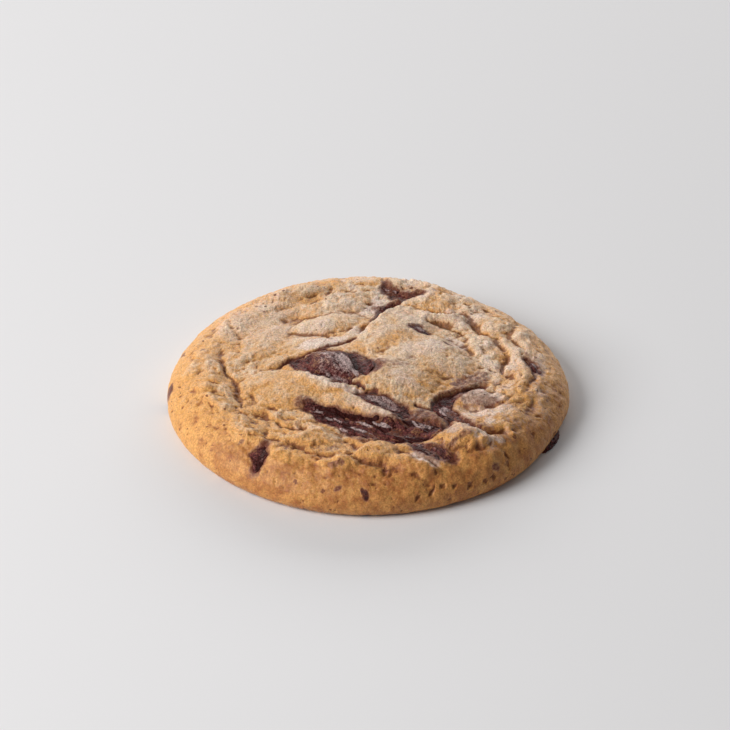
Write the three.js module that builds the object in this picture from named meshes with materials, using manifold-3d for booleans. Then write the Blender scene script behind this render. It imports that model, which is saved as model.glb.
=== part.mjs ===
// A large, soft chocolate chip cookie, about 104 mm across and 15 mm tall, with its chunks of
// chocolate. Millimetres, +Z up. The origin is the middle of the flat base that it was baked on,
// +X is to the right of the side it was seen from, and +Y points away from that side.
//
// The dough is one solid: a low dome with a rounded rim, puffed into slabs and knobs that meet in
// cracks. Each chunk of chocolate that shows is a solid of its own, which sits in a pocket in the
// dough with a small gap all round and follows the dough's relief over its top.
import * as THREE from "three";
import { mergeGeometries, mergeVertices } from "three/addons/utils/BufferGeometryUtils.js";
import Module from "manifold-3d";

const wasm = await Module();
wasm.setup();

// Driving dimensions of the whole cookie
const RADIUS = 52; // half of its mean width
const RIM_REACH = 13; // how far in from the edge the rounded rim begins
const RIM_HEIGHT = 11; // from the base to where the rim meets the dome
const WIDEST_HEIGHT = 2.6; // the edge is widest this far above the base
const FOOT_TUCK = 3; // how far the edge turns in again below its widest place
const DOME_RISE = 3.8; // how much higher the middle is than the rim

// The outline isn't a true circle: waves round it, as [count, height, phase in degrees]
const OUTLINE_WAVES = [
  [2, 0.33, -59],
  [3, 0.44, -35],
  [4, 0.4, 0],
];
// The edge stands in a little over the foot of chocolate: how far, in which direction in degrees,
// and how narrowly
const DENT_DEPTH = 1.6;
const DENT_DIRECTION = -22;
const DENT_NARROWNESS = 26;
const OUTLINE_SHIFT = [-0.37, -0.26]; // brings the middle of its extents over the origin

const SHEET_CELLS = 62; // cells along each side of the square sheet that becomes the top
const DOME_STEPS = 24; // pieces of the dome's curve in the side view
const MERGE_WITHIN = 1e-3; // points of a mesh that are nearer than this are one
const POCKET_GAP = 0.3; // between a chunk of chocolate and its pocket
const OUTLINE_STEPS = 3; // places on each side of a chunk for each point of its middle line

// Puffed slabs and lumps of dough: x, y, half length, half width, direction of the length in
// degrees, height
const LUMPS = [
  [-27, 25, 17, 6, 42, 1.4], // outer ridge of the back left slab
  [-29, 12, 13, 7, 50, 1.5], // its inner ridge
  [-10, 30, 11, 6, 20, 1.6],
  [-10, 19.5, 10, 5.5, 15, 2.2], // the bump beside the valley
  [-15, 9, 11, 5, 8, 0.5],
  [-20, 37, 9, 3.6, 24, 0.9],
  [12, 42, 9, 3, -14, 0.7],
  [7, 17, 15, 10, 60, 2.2], // the large smooth slab on the right, in three overlapping swells
  [16, 4, 13, 10, -40, 2.2],
  [8, -7, 11, 8, -20, 1.9],
  [20, 23.5, 10, 3.2, -18, 1.7], // folds behind it
  [20, 32, 11, 5.5, -18, 1.3],
  [29.5, 12, 5.6, 4.6, -45, 1.1], // lumps between it and the right rim
  [32.5, 4.5, 5.4, 3.6, -70, 1.0],
  [38, 8.5, 5, 3.2, -72, 0.9],
  [39.3, -3, 6, 2.8, -76, 0.9],
  [41.5, 17, 5, 3.4, -60, 0.9],
  [34, 21, 5.5, 4, -50, 0.9],
  [-10, -1, 8, 5.2, -48, 1.9], // the mound of chocolate in the middle
  [-22, -11, 12.5, 8, -30, 1.9], // the smooth slab on the left
  [-13, -10, 10, 3.8, -33, 2.3],
  [-40, -9.5, 5.5, 2.8, -18, 1], // ledges outside the left crack
  [-38, -15.5, 5.5, 3, -45, 1],
  [-44, 3, 6, 3.4, 80, 0.7],
  [-5, -17.5, 10, 2.6, -20, 1.4], // strips of dough on either side of the chocolate band
  [3, -23.2, 8, 2, -32, 1.3],
  [29, -14.5, 6.5, 3.8, 2, 2], // slabs and the raised flap round the cracks on the right
  [31, -23.5, 9.5, 5, 8, 1.4],
  [23, -31.5, 8, 4.2, -18, 2.3],
  [29, -38, 6, 3, 38, 1.1],
  [-14, -32, 7, 5, 10, 1.8], // lumps along the front
  [2, -38.5, 6, 4.6, 0, 1.8],
  [-7, -43, 5, 3.2, 10, 1.3],
  [11, -42.5, 8, 3, -14, 1.4],
  [-33, -27, 8, 5, -50, 0.9],
  [-22, -40, 7, 3.4, -22, 0.9],
];
const LUMP_FULLNESS = 0.7; // under 1 puffs a lump up, so that neighbours meet in a sharp valley
const LUMP_SINK = 1.2; // the lumps stand this much less out of the dome, so that valleys lie in it
const SINK_FADE = [32, 43]; // radii between which that fades out toward the rim
const RELIEF_FADE = [0.76, 0.96]; // the relief fades out between these shares of the side view

// Cracks and folds: depth, half width, and the points that each runs through
const CRACKS = [
  [2.4, 1.6, [8, 31], [3, 24], [-2, 12.5]], // valley from the back to the middle
  [0.8, 1.4, [-26, -2.5], [-19, 3.6], [-8, 7], [-2, 12.5]], // round the mound of chocolate
  [1.6, 1.5, [-39, 9], [-36, -4.5], [-31.5, -20]], // long crack inside the left rim
  [1.3, 1.5, [-31.5, -20], [-24, -24], [-16, -28]],
  [1.2, 1.4, [-42, -5], [-34.5, -9.5]],
  [1.2, 1.4, [-40, -12.6], [-33, -18]],
  [1, 1.6, [-18, 15.5], [-8.5, 11.8]],
  [2.2, 1.4, [-9.5, -11.5], [-2, -11.6], [3, -14.4]],
  [1.4, 1.4, [31, -7.5], [22, -13.5], [17, -18.5], [21, -25.5], [16, -32]], // on the right
  [1.9, 1.4, [21, -25.5], [28, -30], [35, -28.6]],
  [1.6, 1.5, [11, 29.5], [22, 25.8], [29, 21.5], [29.5, 17]], // folds behind the right slab
  [1.7, 1.5, [16.5, 22.6], [27.5, 15.4]],
  [1.2, 1.4, [26.6, 15.6], [27.2, 7.5], [30, 3]],
  [1.5, 1.5, [30, 17.5], [35.6, 8.5], [36, -1.5], [38, -6]], // wrinkles inside the right rim
  [1.2, 1.4, [40, 23], [38, 13.5], [42, 3.5]],
  [1.3, 1.4, [-30, -31.5], [-21, -33.4], [-13, -39.8], [-1.5, -43], [3, -43.4]], // front lumps
  [1.3, 1.4, [-4, -34], [-4.5, -40.6]],
  [1.1, 1.4, [7.5, -38], [19, -43]],
  [1.4, 1.5, [-24, 27], [-10.4, 36], [-8.5, 40]],
];

// Knobs of 3 to 6 mm all over the dough, roughest in a ring inside the rim
const KNOB_SPACING = 5;
const KNOB_HEIGHT = 0.55;
const KNOB_RING = [27, 36, 43, 50]; // radii where the ring starts, is full, ends and is gone
const KNOB_CALM = 0.35; // share of the knobs' height left in the middle of the cookie
const CELL_SEEDS = [127.1, 311.7, 74.7, 43758.5453]; // choose the places of the knobs

// Chunks of chocolate: name, how far its top lies below the dough round it, height of its
// underside above the base, and its middle line as points of x, y and half its width there
const CHUNKS = [
  ["chocolate_middle", 0.3, 6, [-20, 1.4, 0.8], [-17, -0.3, 3.2], [-12, -1.8, 5.6], [-7, -3.2, 7.2],
    [-2.6, -4, 6.2], [0.2, -5, 3]],
  ["chocolate_trough", 0.8, 5.5, [-15.2, -19.6, 1.4], [-11, -22, 2.8], [-5, -26, 3.8],
    [1, -28.6, 4.2], [7, -30, 4], [13, -28.6, 4.6], [17.6, -28, 3]],
  ["chocolate_band", 0.2, 7, [-2, -16, 1], [2.6, -17.8, 2.6], [6.8, -20.2, 2.7],
    [9.8, -22.8, 1.5]],
  ["chocolate_right", 0.6, 5, [30, -8.8, 0.8], [25.5, -11.4, 1.2], [20.8, -15, 1.7],
    [19, -18.4, 2.2], [20.8, -22.2, 2], [23.4, -25.8, 1.9], [27.2, -28.6, 1]],
  ["chocolate_front", 0.4, 4.5, [11.4, -35.2, 1], [14.6, -37, 2.8], [18, -38.4, 2.8],
    [20.6, -39.4, 1.4]],
  ["chocolate_back", 0.4, 5, [4.6, 41.6, 0.8], [5.2, 38.6, 1.8], [7.5, 36, 2.4], [11, 35.4, 1.6],
    [14.6, 36, 0.8]],
  ["chocolate_valley", 0.4, 6, [7.5, 32, 0.8], [5, 29.5, 1.8], [3.6, 26.5, 1.4], [3, 24, 0.8]],
  ["chip_front_left", -0.1, 4, [-25.9, -35.4, 1], [-26.9, -37.8, 2.5], [-27.8, -40.2, 1.4]],
  ["chip_right_rim", 0.1, 5, [41.2, 3.4, 0.8], [43, 1, 1.5], [44.4, -1.8, 1]],
  ["chip_upper_right", -0.1, 9, [11, 15.6, 0.8], [13.6, 15.4, 1.8], [15.8, 14.6, 1]],
];

// A lump of chocolate that melted out under the right edge: how far out its middle is, in which
// direction, and half its length along the edge, its width and its height
const FOOT_RADIUS = 49.2;
const FOOT_DIRECTION = -21;
const FOOT_HALF = [6.2, 2.6, 2];
const FOOT_SIDES = [20, 14]; // its faces round and from top to bottom
const CLEAR_ABOVE = 30; // pockets are cut up to here, above all of the cookie

const DOUGH = { color: 0xcf9c66, roughness: 0.8, metalness: 0 };
const CHOCOLATE = { color: 0x3b2019, roughness: 0.35, metalness: 0 };

const degrees = Math.PI / 180;
const smoothstep = THREE.MathUtils.smoothstep;

// The side view from the middle of the top, over the rim, to the edge of the base: points spaced
// evenly along it, each with its radius, height and outward normal.
function sideView(count) {
  const curve = new THREE.CurvePath();
  const inner = RADIUS - RIM_REACH;
  const dome = [];
  for (let i = 0; i <= DOME_STEPS; i++) {
    const share = i / DOME_STEPS;
    dome.push(new THREE.Vector2(inner * share, RIM_HEIGHT + DOME_RISE * (1 - share ** 2) ** 2));
  }
  curve.add(new THREE.SplineCurve(dome));
  const rimRise = RIM_HEIGHT - WIDEST_HEIGHT;
  curve.add(new THREE.EllipseCurve(inner, WIDEST_HEIGHT, RIM_REACH, rimRise, Math.PI / 2, 0, true));
  const tucked = RADIUS - FOOT_TUCK;
  curve.add(new THREE.EllipseCurve(tucked, WIDEST_HEIGHT, FOOT_TUCK, WIDEST_HEIGHT, 0, -Math.PI / 2, true));
  const points = curve.getSpacedPoints(count);
  return points.map((p, i) => {
    const before = points[Math.max(i - 1, 0)];
    const after = points[Math.min(i + 1, count)];
    const along = after.clone().sub(before).normalize();
    return { radius: p.x, height: p.y, out: -along.y, up: along.x };
  });
}

// A square sheet's point (each coordinate from -1 to 1) on a round sheet, as its ring from 0 to 1
// and its angle: squares round the middle become circles, so that the cells stay of one size.
function squareToRound(u, v) {
  if (u === 0 && v === 0) return { ring: 0, angle: 0 };
  const wide = Math.abs(u) > Math.abs(v);
  const ring = wide ? Math.abs(u) : Math.abs(v);
  const turn = wide ? (v / u) * 45 : 90 - (u / v) * 45;
  const side = (wide ? u : v) < 0 ? 180 : 0;
  return { ring, angle: (turn + side) * degrees };
}

// The share by which the outline stands out at an angle.
function outlineScale(angle) {
  let scale = 1;
  for (const [count, height, phase] of OUTLINE_WAVES)
    scale += (height / RADIUS) * Math.cos(count * angle - phase * degrees);
  const fromDent = Math.cos(angle - DENT_DIRECTION * degrees) - 1;
  return scale - (DENT_DEPTH / RADIUS) * Math.exp(DENT_NARROWNESS * fromDent);
}

// The highest of the lumps at a point: each is a pillow over an ellipse.
function lumpHeight(x, y) {
  let highest = 0;
  for (const [cx, cy, long, wide, direction, height] of LUMPS) {
    const c = Math.cos(direction * degrees);
    const s = Math.sin(direction * degrees);
    const along = ((x - cx) * c + (y - cy) * s) / long;
    const across = ((y - cy) * c - (x - cx) * s) / wide;
    const q = along ** 2 + across ** 2;
    if (q < 1) highest = Math.max(highest, height * (1 - q) ** LUMP_FULLNESS);
  }
  return highest;
}

// Distance from a point to a line through several points.
function distanceTo(points, x, y) {
  let nearest = Infinity;
  for (let i = 1; i < points.length; i++) {
    const [ax, ay] = points[i - 1];
    const dx = points[i][0] - ax;
    const dy = points[i][1] - ay;
    const share = ((x - ax) * dx + (y - ay) * dy) / (dx * dx + dy * dy);
    const t = THREE.MathUtils.clamp(share, 0, 1);
    nearest = Math.min(nearest, Math.hypot(x - ax - t * dx, y - ay - t * dy));
  }
  return nearest;
}

// The deepest of the cracks at a point: each is a rounded groove along its line.
function crackDepth(x, y) {
  let deepest = 0;
  for (const [depth, halfWidth, ...points] of CRACKS) {
    const across = distanceTo(points, x, y) / halfWidth;
    deepest = Math.max(deepest, depth * Math.exp(-(across ** 2)));
  }
  return deepest;
}

// A number from 0 to 1 that looks random but is always the same for one cell of a grid: the
// fraction of a sine that is spread very wide.
function cellNumber(i, j, which) {
  const [column, row, kind, spread] = CELL_SEEDS;
  const value = Math.sin(i * column + j * row + which * kind) * spread;
  return value - Math.floor(value);
}

// Rounded knobs: one in each cell of a grid, at a place of its own, with a valley between.
function knobHeight(x, y) {
  const column = Math.floor(x / KNOB_SPACING);
  const row = Math.floor(y / KNOB_SPACING);
  let nearest = Infinity;
  for (let i = column - 1; i <= column + 1; i++)
    for (let j = row - 1; j <= row + 1; j++) {
      const dx = (i + cellNumber(i, j, 0)) * KNOB_SPACING - x;
      const dy = (j + cellNumber(i, j, 1)) * KNOB_SPACING - y;
      nearest = Math.min(nearest, Math.hypot(dx, dy));
    }
  return 1 - Math.min(nearest / KNOB_SPACING, 1) ** 2;
}

// How far the surface stands out from the smooth side view over a point of the plan.
function relief(x, y) {
  const r = Math.hypot(x, y);
  const [start, full, end, gone] = KNOB_RING;
  const ring = smoothstep(r, start, full) * (1 - smoothstep(r, end, gone));
  const knobs = KNOB_HEIGHT * (KNOB_CALM + (1 - KNOB_CALM) * ring) * knobHeight(x, y);
  const sink = LUMP_SINK * (1 - smoothstep(r, ...SINK_FADE));
  return lumpHeight(x, y) - sink - crackDepth(x, y) + knobs;
}

// A closed mesh with shared vertices, as a solid that can be cut and joined.
function toSolid(geometry) {
  const bare = geometry.clone();
  bare.deleteAttribute("normal");
  bare.deleteAttribute("uv");
  const merged = mergeVertices(bare, MERGE_WITHIN);
  const vertProperties = new Float32Array(merged.attributes.position.array);
  const triVerts = new Uint32Array(merged.index.array);
  return new wasm.Manifold(new wasm.Mesh({ numProp: 3, vertProperties, triVerts }));
}

// The solid's largest piece as a geometry, without the scraps that a cut can leave.
function toGeometry(solid) {
  const pieces = solid.decompose().sort((a, b) => b.volume() - a.volume());
  const mesh = pieces[0].getMesh();
  const geometry = new THREE.BufferGeometry();
  geometry.setAttribute("position", new THREE.BufferAttribute(mesh.vertProperties, mesh.numProp));
  geometry.setIndex(new THREE.BufferAttribute(mesh.triVerts, 1));
  geometry.computeVertexNormals();
  return geometry;
}

// The whole cookie without its pockets: a square sheet laid over the side view as a round one,
// pushed out by the relief, and closed by a flat base.
function wholeCookie() {
  const rings = SHEET_CELLS / 2;
  const side = sideView(rings);
  const sheet = new THREE.PlaneGeometry(2, 2, SHEET_CELLS, SHEET_CELLS);
  const place = sheet.attributes.position;
  for (let i = 0; i < place.count; i++) {
    const { ring, angle } = squareToRound(place.getX(i), place.getY(i));
    const step = Math.round(ring * rings);
    const { radius, height, out, up } = side[step];
    const scale = outlineScale(angle);
    const plain = radius * scale;
    const fade = 1 - smoothstep(ring, ...RELIEF_FADE);
    const push = relief(plain * Math.cos(angle), plain * Math.sin(angle)) * fade;
    const pushed = plain + push * out;
    const x = OUTLINE_SHIFT[0] + pushed * Math.cos(angle);
    const y = OUTLINE_SHIFT[1] + pushed * Math.sin(angle);
    place.setXYZ(i, x, y, step === rings ? 0 : height + push * up);
  }
  const edge = [];
  for (let i = 0; i < 4 * SHEET_CELLS; i++) {
    const angle = (i / (4 * SHEET_CELLS)) * 2 * Math.PI;
    const radius = side[rings].radius * outlineScale(angle);
    const x = OUTLINE_SHIFT[0] + radius * Math.cos(angle);
    edge.push(new THREE.Vector2(x, OUTLINE_SHIFT[1] + radius * Math.sin(angle)));
  }
  const base = new THREE.ShapeGeometry(new THREE.Shape(edge));
  base.index.array.reverse(); // the base faces down
  return toSolid(mergeGeometries([sheet, base]));
}

// The closed outline round a middle line, drawn in by a distance all round, with rounded ends.
function outlineRound(line, drawnIn) {
  const curve = new THREE.CatmullRomCurve3(line.map((point) => new THREE.Vector3(...point)));
  const count = (line.length - 1) * OUTLINE_STEPS;
  const sides = [[], []];
  for (let i = 0; i <= count; i++) {
    const at = curve.getPoint(i / count);
    const ahead = curve.getTangent(i / count).setZ(0).normalize();
    if (i === 0 || i === count) {
      at.addScaledVector(ahead, i === 0 ? drawnIn : -drawnIn);
      sides[0].push(new THREE.Vector2(at.x, at.y));
      continue;
    }
    const fromEnd = Math.min(Math.min(i, count - i) / OUTLINE_STEPS, 1);
    const half = at.z * Math.sqrt(1 - (1 - fromEnd) ** 2) - drawnIn;
    sides[0].push(new THREE.Vector2(at.x + ahead.y * half, at.y - ahead.x * half));
    sides[1].unshift(new THREE.Vector2(at.x - ahead.y * half, at.y + ahead.x * half));
  }
  return sides.flat();
}

// An upright prism over the outline round a middle line.
function prism(line, drawnIn, bottom) {
  const geometry = new THREE.ExtrudeGeometry(new THREE.Shape(outlineRound(line, drawnIn)), {
    depth: CLEAR_ABOVE - bottom,
    bevelEnabled: false,
  });
  return toSolid(geometry.translate(0, 0, bottom));
}

// The melted lump under the edge, grown by a distance: a flattened ball that stands on the base.
function foot(grown) {
  const ball = new THREE.SphereGeometry(1, ...FOOT_SIDES);
  ball.scale(FOOT_HALF[0] + grown, FOOT_HALF[1] + grown, FOOT_HALF[2] + grown);
  ball.rotateZ(Math.PI / 2);
  ball.translate(FOOT_RADIUS, 0, 0);
  ball.rotateZ(FOOT_DIRECTION * degrees);
  return toSolid(ball);
}

function node(name, solid, finish) {
  const mesh = new THREE.Mesh(toGeometry(solid), new THREE.MeshStandardMaterial(finish));
  mesh.name = name;
  return mesh;
}

function cookie() {
  const group = new THREE.Group();
  const whole = wholeCookie();
  let dough = whole;
  for (const [name, sunk, bottom, ...line] of CHUNKS) {
    const body = prism(line, POCKET_GAP, bottom + POCKET_GAP);
    const chunk = body.intersect(whole.translate([0, 0, -sunk]));
    group.add(node(name, chunk, CHOCOLATE));
    dough = dough.subtract(prism(line, 0, bottom));
  }
  const aboveBase = new THREE.BoxGeometry(4 * RADIUS, 4 * RADIUS, CLEAR_ABOVE);
  const upper = toSolid(aboveBase.translate(0, 0, CLEAR_ABOVE / 2));
  group.add(node("chocolate_foot", foot(0).intersect(upper), CHOCOLATE));
  dough = dough.subtract(foot(POCKET_GAP));
  group.add(node("cookie_dough", dough, DOUGH));
  return group;
}

export default cookie();
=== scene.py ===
"""A large, soft chocolate chip cookie: its puffed and cracked dough, and the melted chocolate and
chips in it. Laid out as an add-on with one operator for each kind of piece and one for the stage."""
import math

import bpy
import numpy as np
from bpy.props import FloatProperty, FloatVectorProperty, IntProperty, PointerProperty
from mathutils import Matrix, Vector


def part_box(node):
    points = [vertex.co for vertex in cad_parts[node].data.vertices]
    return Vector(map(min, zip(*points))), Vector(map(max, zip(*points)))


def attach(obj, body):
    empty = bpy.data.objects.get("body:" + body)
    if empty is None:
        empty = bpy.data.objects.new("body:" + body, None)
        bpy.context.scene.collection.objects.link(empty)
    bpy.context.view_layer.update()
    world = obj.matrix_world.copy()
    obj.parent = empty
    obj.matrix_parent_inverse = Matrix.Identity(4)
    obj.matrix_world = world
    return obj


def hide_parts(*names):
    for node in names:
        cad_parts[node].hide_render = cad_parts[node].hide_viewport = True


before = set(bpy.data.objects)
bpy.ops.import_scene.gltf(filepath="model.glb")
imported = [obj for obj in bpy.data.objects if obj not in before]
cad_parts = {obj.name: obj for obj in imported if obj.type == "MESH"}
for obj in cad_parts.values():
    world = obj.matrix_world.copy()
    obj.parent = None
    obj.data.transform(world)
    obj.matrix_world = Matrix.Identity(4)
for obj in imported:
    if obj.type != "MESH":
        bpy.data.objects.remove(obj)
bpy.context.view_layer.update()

bl_info = {
    "name": "Chocolate chip cookie",
    "version": (1, 0, 0),
    "blender": (4, 5, 0),
    "location": "3D View > Sidebar > Cookie",
    "description": "Makes a large soft chocolate chip cookie with cracks and melted chocolate",
    "category": "Add Mesh",
}

MM = 0.001
OUTLINE_SHIFT = (-0.37, -0.26)  # brings the middle of the outline's extents over the origin

# The outline isn't a true circle: waves round it, as (count, height in mm, phase in degrees)
OUTLINE_WAVES = ((2, 0.33, -59), (3, 0.44, -35), (4, 0.4, 0))
# The edge stands in over the foot of chocolate: how far in mm, in which direction, and how narrowly
OUTLINE_DENT = (1.6, -22, 26)

# Puffed slabs and lumps of dough, in mm: x, y, half length, half width, direction in degrees, height
LUMPS = (
    (-27, 25, 17, 6, 42, 1.4),  # outer ridge of the back left slab
    (-29, 12, 13, 7, 50, 1.5),  # its inner ridge
    (-10, 30, 11, 6, 20, 1.6),
    (-10, 19.5, 10, 5.5, 15, 2.2),  # the bump beside the valley
    (-15, 9, 11, 5, 8, 0.5),
    (-20, 37, 9, 3.6, 24, 0.9),
    (12, 42, 9, 3, -14, 0.7),
    (7, 17, 15, 10, 60, 2.2),  # the large smooth slab on the right, in three overlapping swells
    (16, 4, 13, 10, -40, 2.2),
    (8, -7, 11, 8, -20, 1.9),
    (20, 23.5, 10, 3.2, -18, 1.7),  # folds behind it
    (20, 32, 11, 5.5, -18, 1.3),
    (29.5, 12, 5.6, 4.6, -45, 1.1),  # lumps between it and the right rim
    (32.5, 4.5, 5.4, 3.6, -70, 1.0),
    (38, 8.5, 5, 3.2, -72, 0.9),
    (39.3, -3, 6, 2.8, -76, 0.9),
    (41.5, 17, 5, 3.4, -60, 0.9),
    (34, 21, 5.5, 4, -50, 0.9),
    (-10, -1, 8, 5.2, -48, 1.9),  # the mound of chocolate in the middle
    (-22, -11, 12.5, 8, -30, 1.9),  # the smooth slab on the left
    (-13, -10, 10, 3.8, -33, 2.3),
    (-40, -9.5, 5.5, 2.8, -18, 1.0),  # ledges outside the left crack
    (-38, -15.5, 5.5, 3, -45, 1.0),
    (-44, 3, 6, 3.4, 80, 0.7),
    (-5, -17.5, 10, 2.6, -20, 1.4),  # strips of dough on either side of the chocolate band
    (3, -23.2, 8, 2, -32, 1.3),
    (29, -14.5, 6.5, 3.8, 2, 2.0),  # slabs and the raised flap round the cracks on the right
    (31, -23.5, 9.5, 5, 8, 1.4),
    (23, -31.5, 8, 4.2, -18, 2.3),
    (29, -38, 6, 3, 38, 1.1),
    (-14, -32, 7, 5, 10, 1.8),  # lumps along the front
    (2, -38.5, 6, 4.6, 0, 1.8),
    (-7, -43, 5, 3.2, 10, 1.3),
    (11, -42.5, 8, 3, -14, 1.4),
    (-33, -27, 8, 5, -50, 0.9),
    (-22, -40, 7, 3.4, -22, 0.9),
)
LUMP_FULLNESS = 0.85  # under 1 puffs a lump up, so that neighbours meet in a sharper valley
LUMP_JOIN = 3  # how sharply neighbours meet, per mm
LUMP_SINK = 1.2  # the lumps stand this much less out of the dome, in mm
SINK_FADE = (32, 43)  # radii between which that fades out, in mm
CRACK_SHARE = 0.6  # share of its depth that is left of a crack between the lumps, which have valleys too

# Cracks and folds, in mm: depth, half width, and the points that each runs through
CRACKS = (
    (2.6, 0.9, (8, 31), (5, 28), (3, 24), (1, 19.5), (-1, 16), (-2, 12.5)),
    (0.75, 0.5, (-28, -4.5), (-26, -2.5), (-22, 1), (-19, 3.6), (-13, 5.2)),
    (0.4, 0.5, (-13, 5.2), (-8, 7), (-4.5, 9.5), (-2, 12.5)),
    (1.6, 0.8, (-39, 9), (-38.5, 3), (-36, -4.5), (-34, -11), (-33, -16), (-31.5, -20)),
    (1.3, 0.9, (-31.5, -20), (-27, -21.5), (-24, -24), (-20, -26.5), (-16, -28)),
    (1.3, 0.8, (-42, -5), (-38, -7.8), (-34.5, -9.5)),
    (1.2, 0.8, (-40, -12.6), (-36, -14.2), (-33, -18)),
    (1.0, 1.4, (-18, 15.5), (-13, 13.6), (-8.5, 11.8)),
    (1.8, 0.6, (-8.5, -11.4), (-5, -10.8), (-2, -11.8), (-1.4, -14.8), (1.6, -14.2)),
    (0.9, 0.6, (31, -7.5), (26, -10.8), (22, -13.5), (18.5, -15.6), (17, -18.5)),
    (1.2, 0.7, (17, -18.5), (19.5, -22), (21, -25.5), (20.5, -28.5), (16, -32)),
    (2.0, 0.8, (21, -25.5), (25, -27.8), (28, -30), (31, -30.3), (35, -28.6)),
    (1.6, 0.9, (11, 29.5), (18, 27), (22, 25.8), (26.5, 25.2), (29, 21.5), (29.5, 17)),
    (1.8, 0.9, (16.5, 22.6), (20, 20), (24, 17.6), (27.5, 15.4)),
    (1.0, 0.8, (26.6, 15.6), (26, 12), (27.2, 7.5), (30, 3)),
    (1.2, 0.7, (30, 17.5), (33.4, 13), (35.6, 8.5), (36.4, 3), (36, -1.5), (38, -6)),
    (0.9, 0.8, (40, 23), (38.6, 18), (38, 13.5), (40.5, 8.5), (42, 3.5)),
    (1.5, 0.8, (42.8, -2), (42.2, -6), (41, -10)),
    (1.3, 0.8, (-30, -31.5), (-25.5, -33), (-21, -33.4), (-17.5, -37), (-13, -39.8), (-8, -40.4)),
    (1.3, 0.8, (-9.5, -44.5), (-8, -41.6), (-4.5, -40.6), (-1.5, -43), (3, -43.4)),
    (1.4, 0.8, (-4, -34), (-2.5, -37), (-4.5, -40.6)),
    (1.1, 0.7, (7.5, -38), (11, -40), (15, -41.4), (19, -43)),
    (0.6, 0.9, (-24, 27), (-19, 30.4), (-14, 33), (-10.4, 36), (-8.5, 40)),
    (0.9, 0.8, (24, 30), (28, 30.6), (32, 28)),
    (1.1, 0.7, (18, -34.5), (21.5, -37), (22, -40)),
    (1.0, 0.6, (26, -35), (30, -35.8), (33, -33.6)),
    (0.9, 0.8, (-36, 21), (-33.5, 14), (-35, 8)),
    (0.9, 0.8, (-28, -25), (-25.6, -28), (-26, -31.5)),
)

# Edges where one slab of dough stands over the next, in mm: height, how far it reaches, and the line,
# with the high side on the left
LEDGES = (
    (0.35, 6, (-27, -3), (-22, 0.8), (-17, 4), (-12, 5.6), (-8, 6.4)),  # over the middle chunk
    (0.5, 5, (-1, 8), (1, 3), (1, -3), (-0.5, -8), (-1, -12)),
    (0.5, 3, (0, -13), (-2, -11.6), (-5, -11), (-9, -12), (-14, -8.4)),
    (0.25, 5, (-2, -14.4), (3, -14.2), (8, -17), (12, -21)),
    (0.35, 4, (-17, -16.6), (-10, -19.2), (-3, -22.3), (3, -24.6), (9, -27)),  # over the trough
    (1.1, 5, (36, -28), (31, -30.5), (28, -30), (25, -28.4), (22, -26.8), (19, -29.5), (15, -32.6)),
    (0.9, 7, (9, 32), (5, 28), (3, 24), (0, 18), (-2, 12.5)),  # right slab over the valley
    (0.5, 3, (-42, -5), (-38, -7.8), (-34.5, -9.5)),  # wrinkles on the left
    (0.45, 3, (-41, -12.6), (-36, -14.2), (-33, -18)),
    (0.5, 5, (-19, 16), (-13, 13.6), (-8.5, 11.8)),
    (0.7, 4, (-31, -20), (-25, -23.4), (-20, -26.5), (-15, -28.6)),
    (0.6, 4, (-30, -31.5), (-23, -33.4), (-17.5, -37), (-13, -39.8), (-8, -40.4)),
    (1.0, 2.4, (-0.8, -9), (-3.2, -5.5), (-5.2, -1), (-7, 2.8)),  # the mound's ridge over its broken facet
)

# The smoothest slabs, in mm, as the stains below
SMOOTH = (
    (-28, 19, 20, 11, 44, 1.0),
    (9, 9, 19, 13, 68, 0.8),
    (10, -7, 12, 8, -20, 0.7),
    (-20, -11, 14, 9, -30, 0.9),
    (-10, 21, 13, 7, 15, 0.8),
    (30, -20, 9, 8, 0, 0.7),
    (22, -31, 7, 4, -18, 0.9),
)

# The baked surface between the lumps: the sizes of its patterns in mm
BIG_COBBLE = 4.6
SMALL_COBBLE = 2.3
WRINKLE_SIZE = 2.9
CRUMB_SIZE = 1.15
GRIT_SIZE = 0.75
PORE_SPACING = 2.0
PIT_SPACING = 3.4
SWELLS = ((6, 1.0, 15), (3, 0.75, 16), (1.6, 0.3, 17))  # low swells: size, share of their height, seed
SWELL_HEIGHT = 0.34  # in mm, as the depths below
PORE_DEPTH = 0.35
PIT_DEPTH = 0.5
SIDE_LENGTH = 61  # of the side view, in mm, for the patterns that run round the rim
EVEN_WITHIN = 22  # radius in mm inside which those patterns aren't drawn out round it
CALM = 0.75  # share of the crags that the smooth slabs lack
CLEAR = 0.85  # share of the pores that they lack

# Where each part of the surface begins and ends: radii in mm, or shares of the side view's length
RELIEF_END = (0.76, 0.96)
CRAG_RADII = (24, 33)
CRAG_END = (0.7, 0.86)
CRAG_FADE = (0.84, 1.0)
RIM_TURN = (0.66, 0.85)
FINE_RIM = (0.72, 0.84)
BASE_EDGE = (0.95, 1.0)
PIT_BEGIN = (0.66, 0.76)
PIT_END = (0.92, 0.98)
DRY_RADII = (24, 32)
DRY_END = (0.72, 0.85)
CREST_END = (0.7, 0.85)

# What the dough's colour is multiplied by in its dark and its light grains, as red, green and blue
DARK_GRAIN = (0.74, 0.68, 0.62)
LIGHT_GRAIN = (1.24, 1.29, 1.35)

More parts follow.
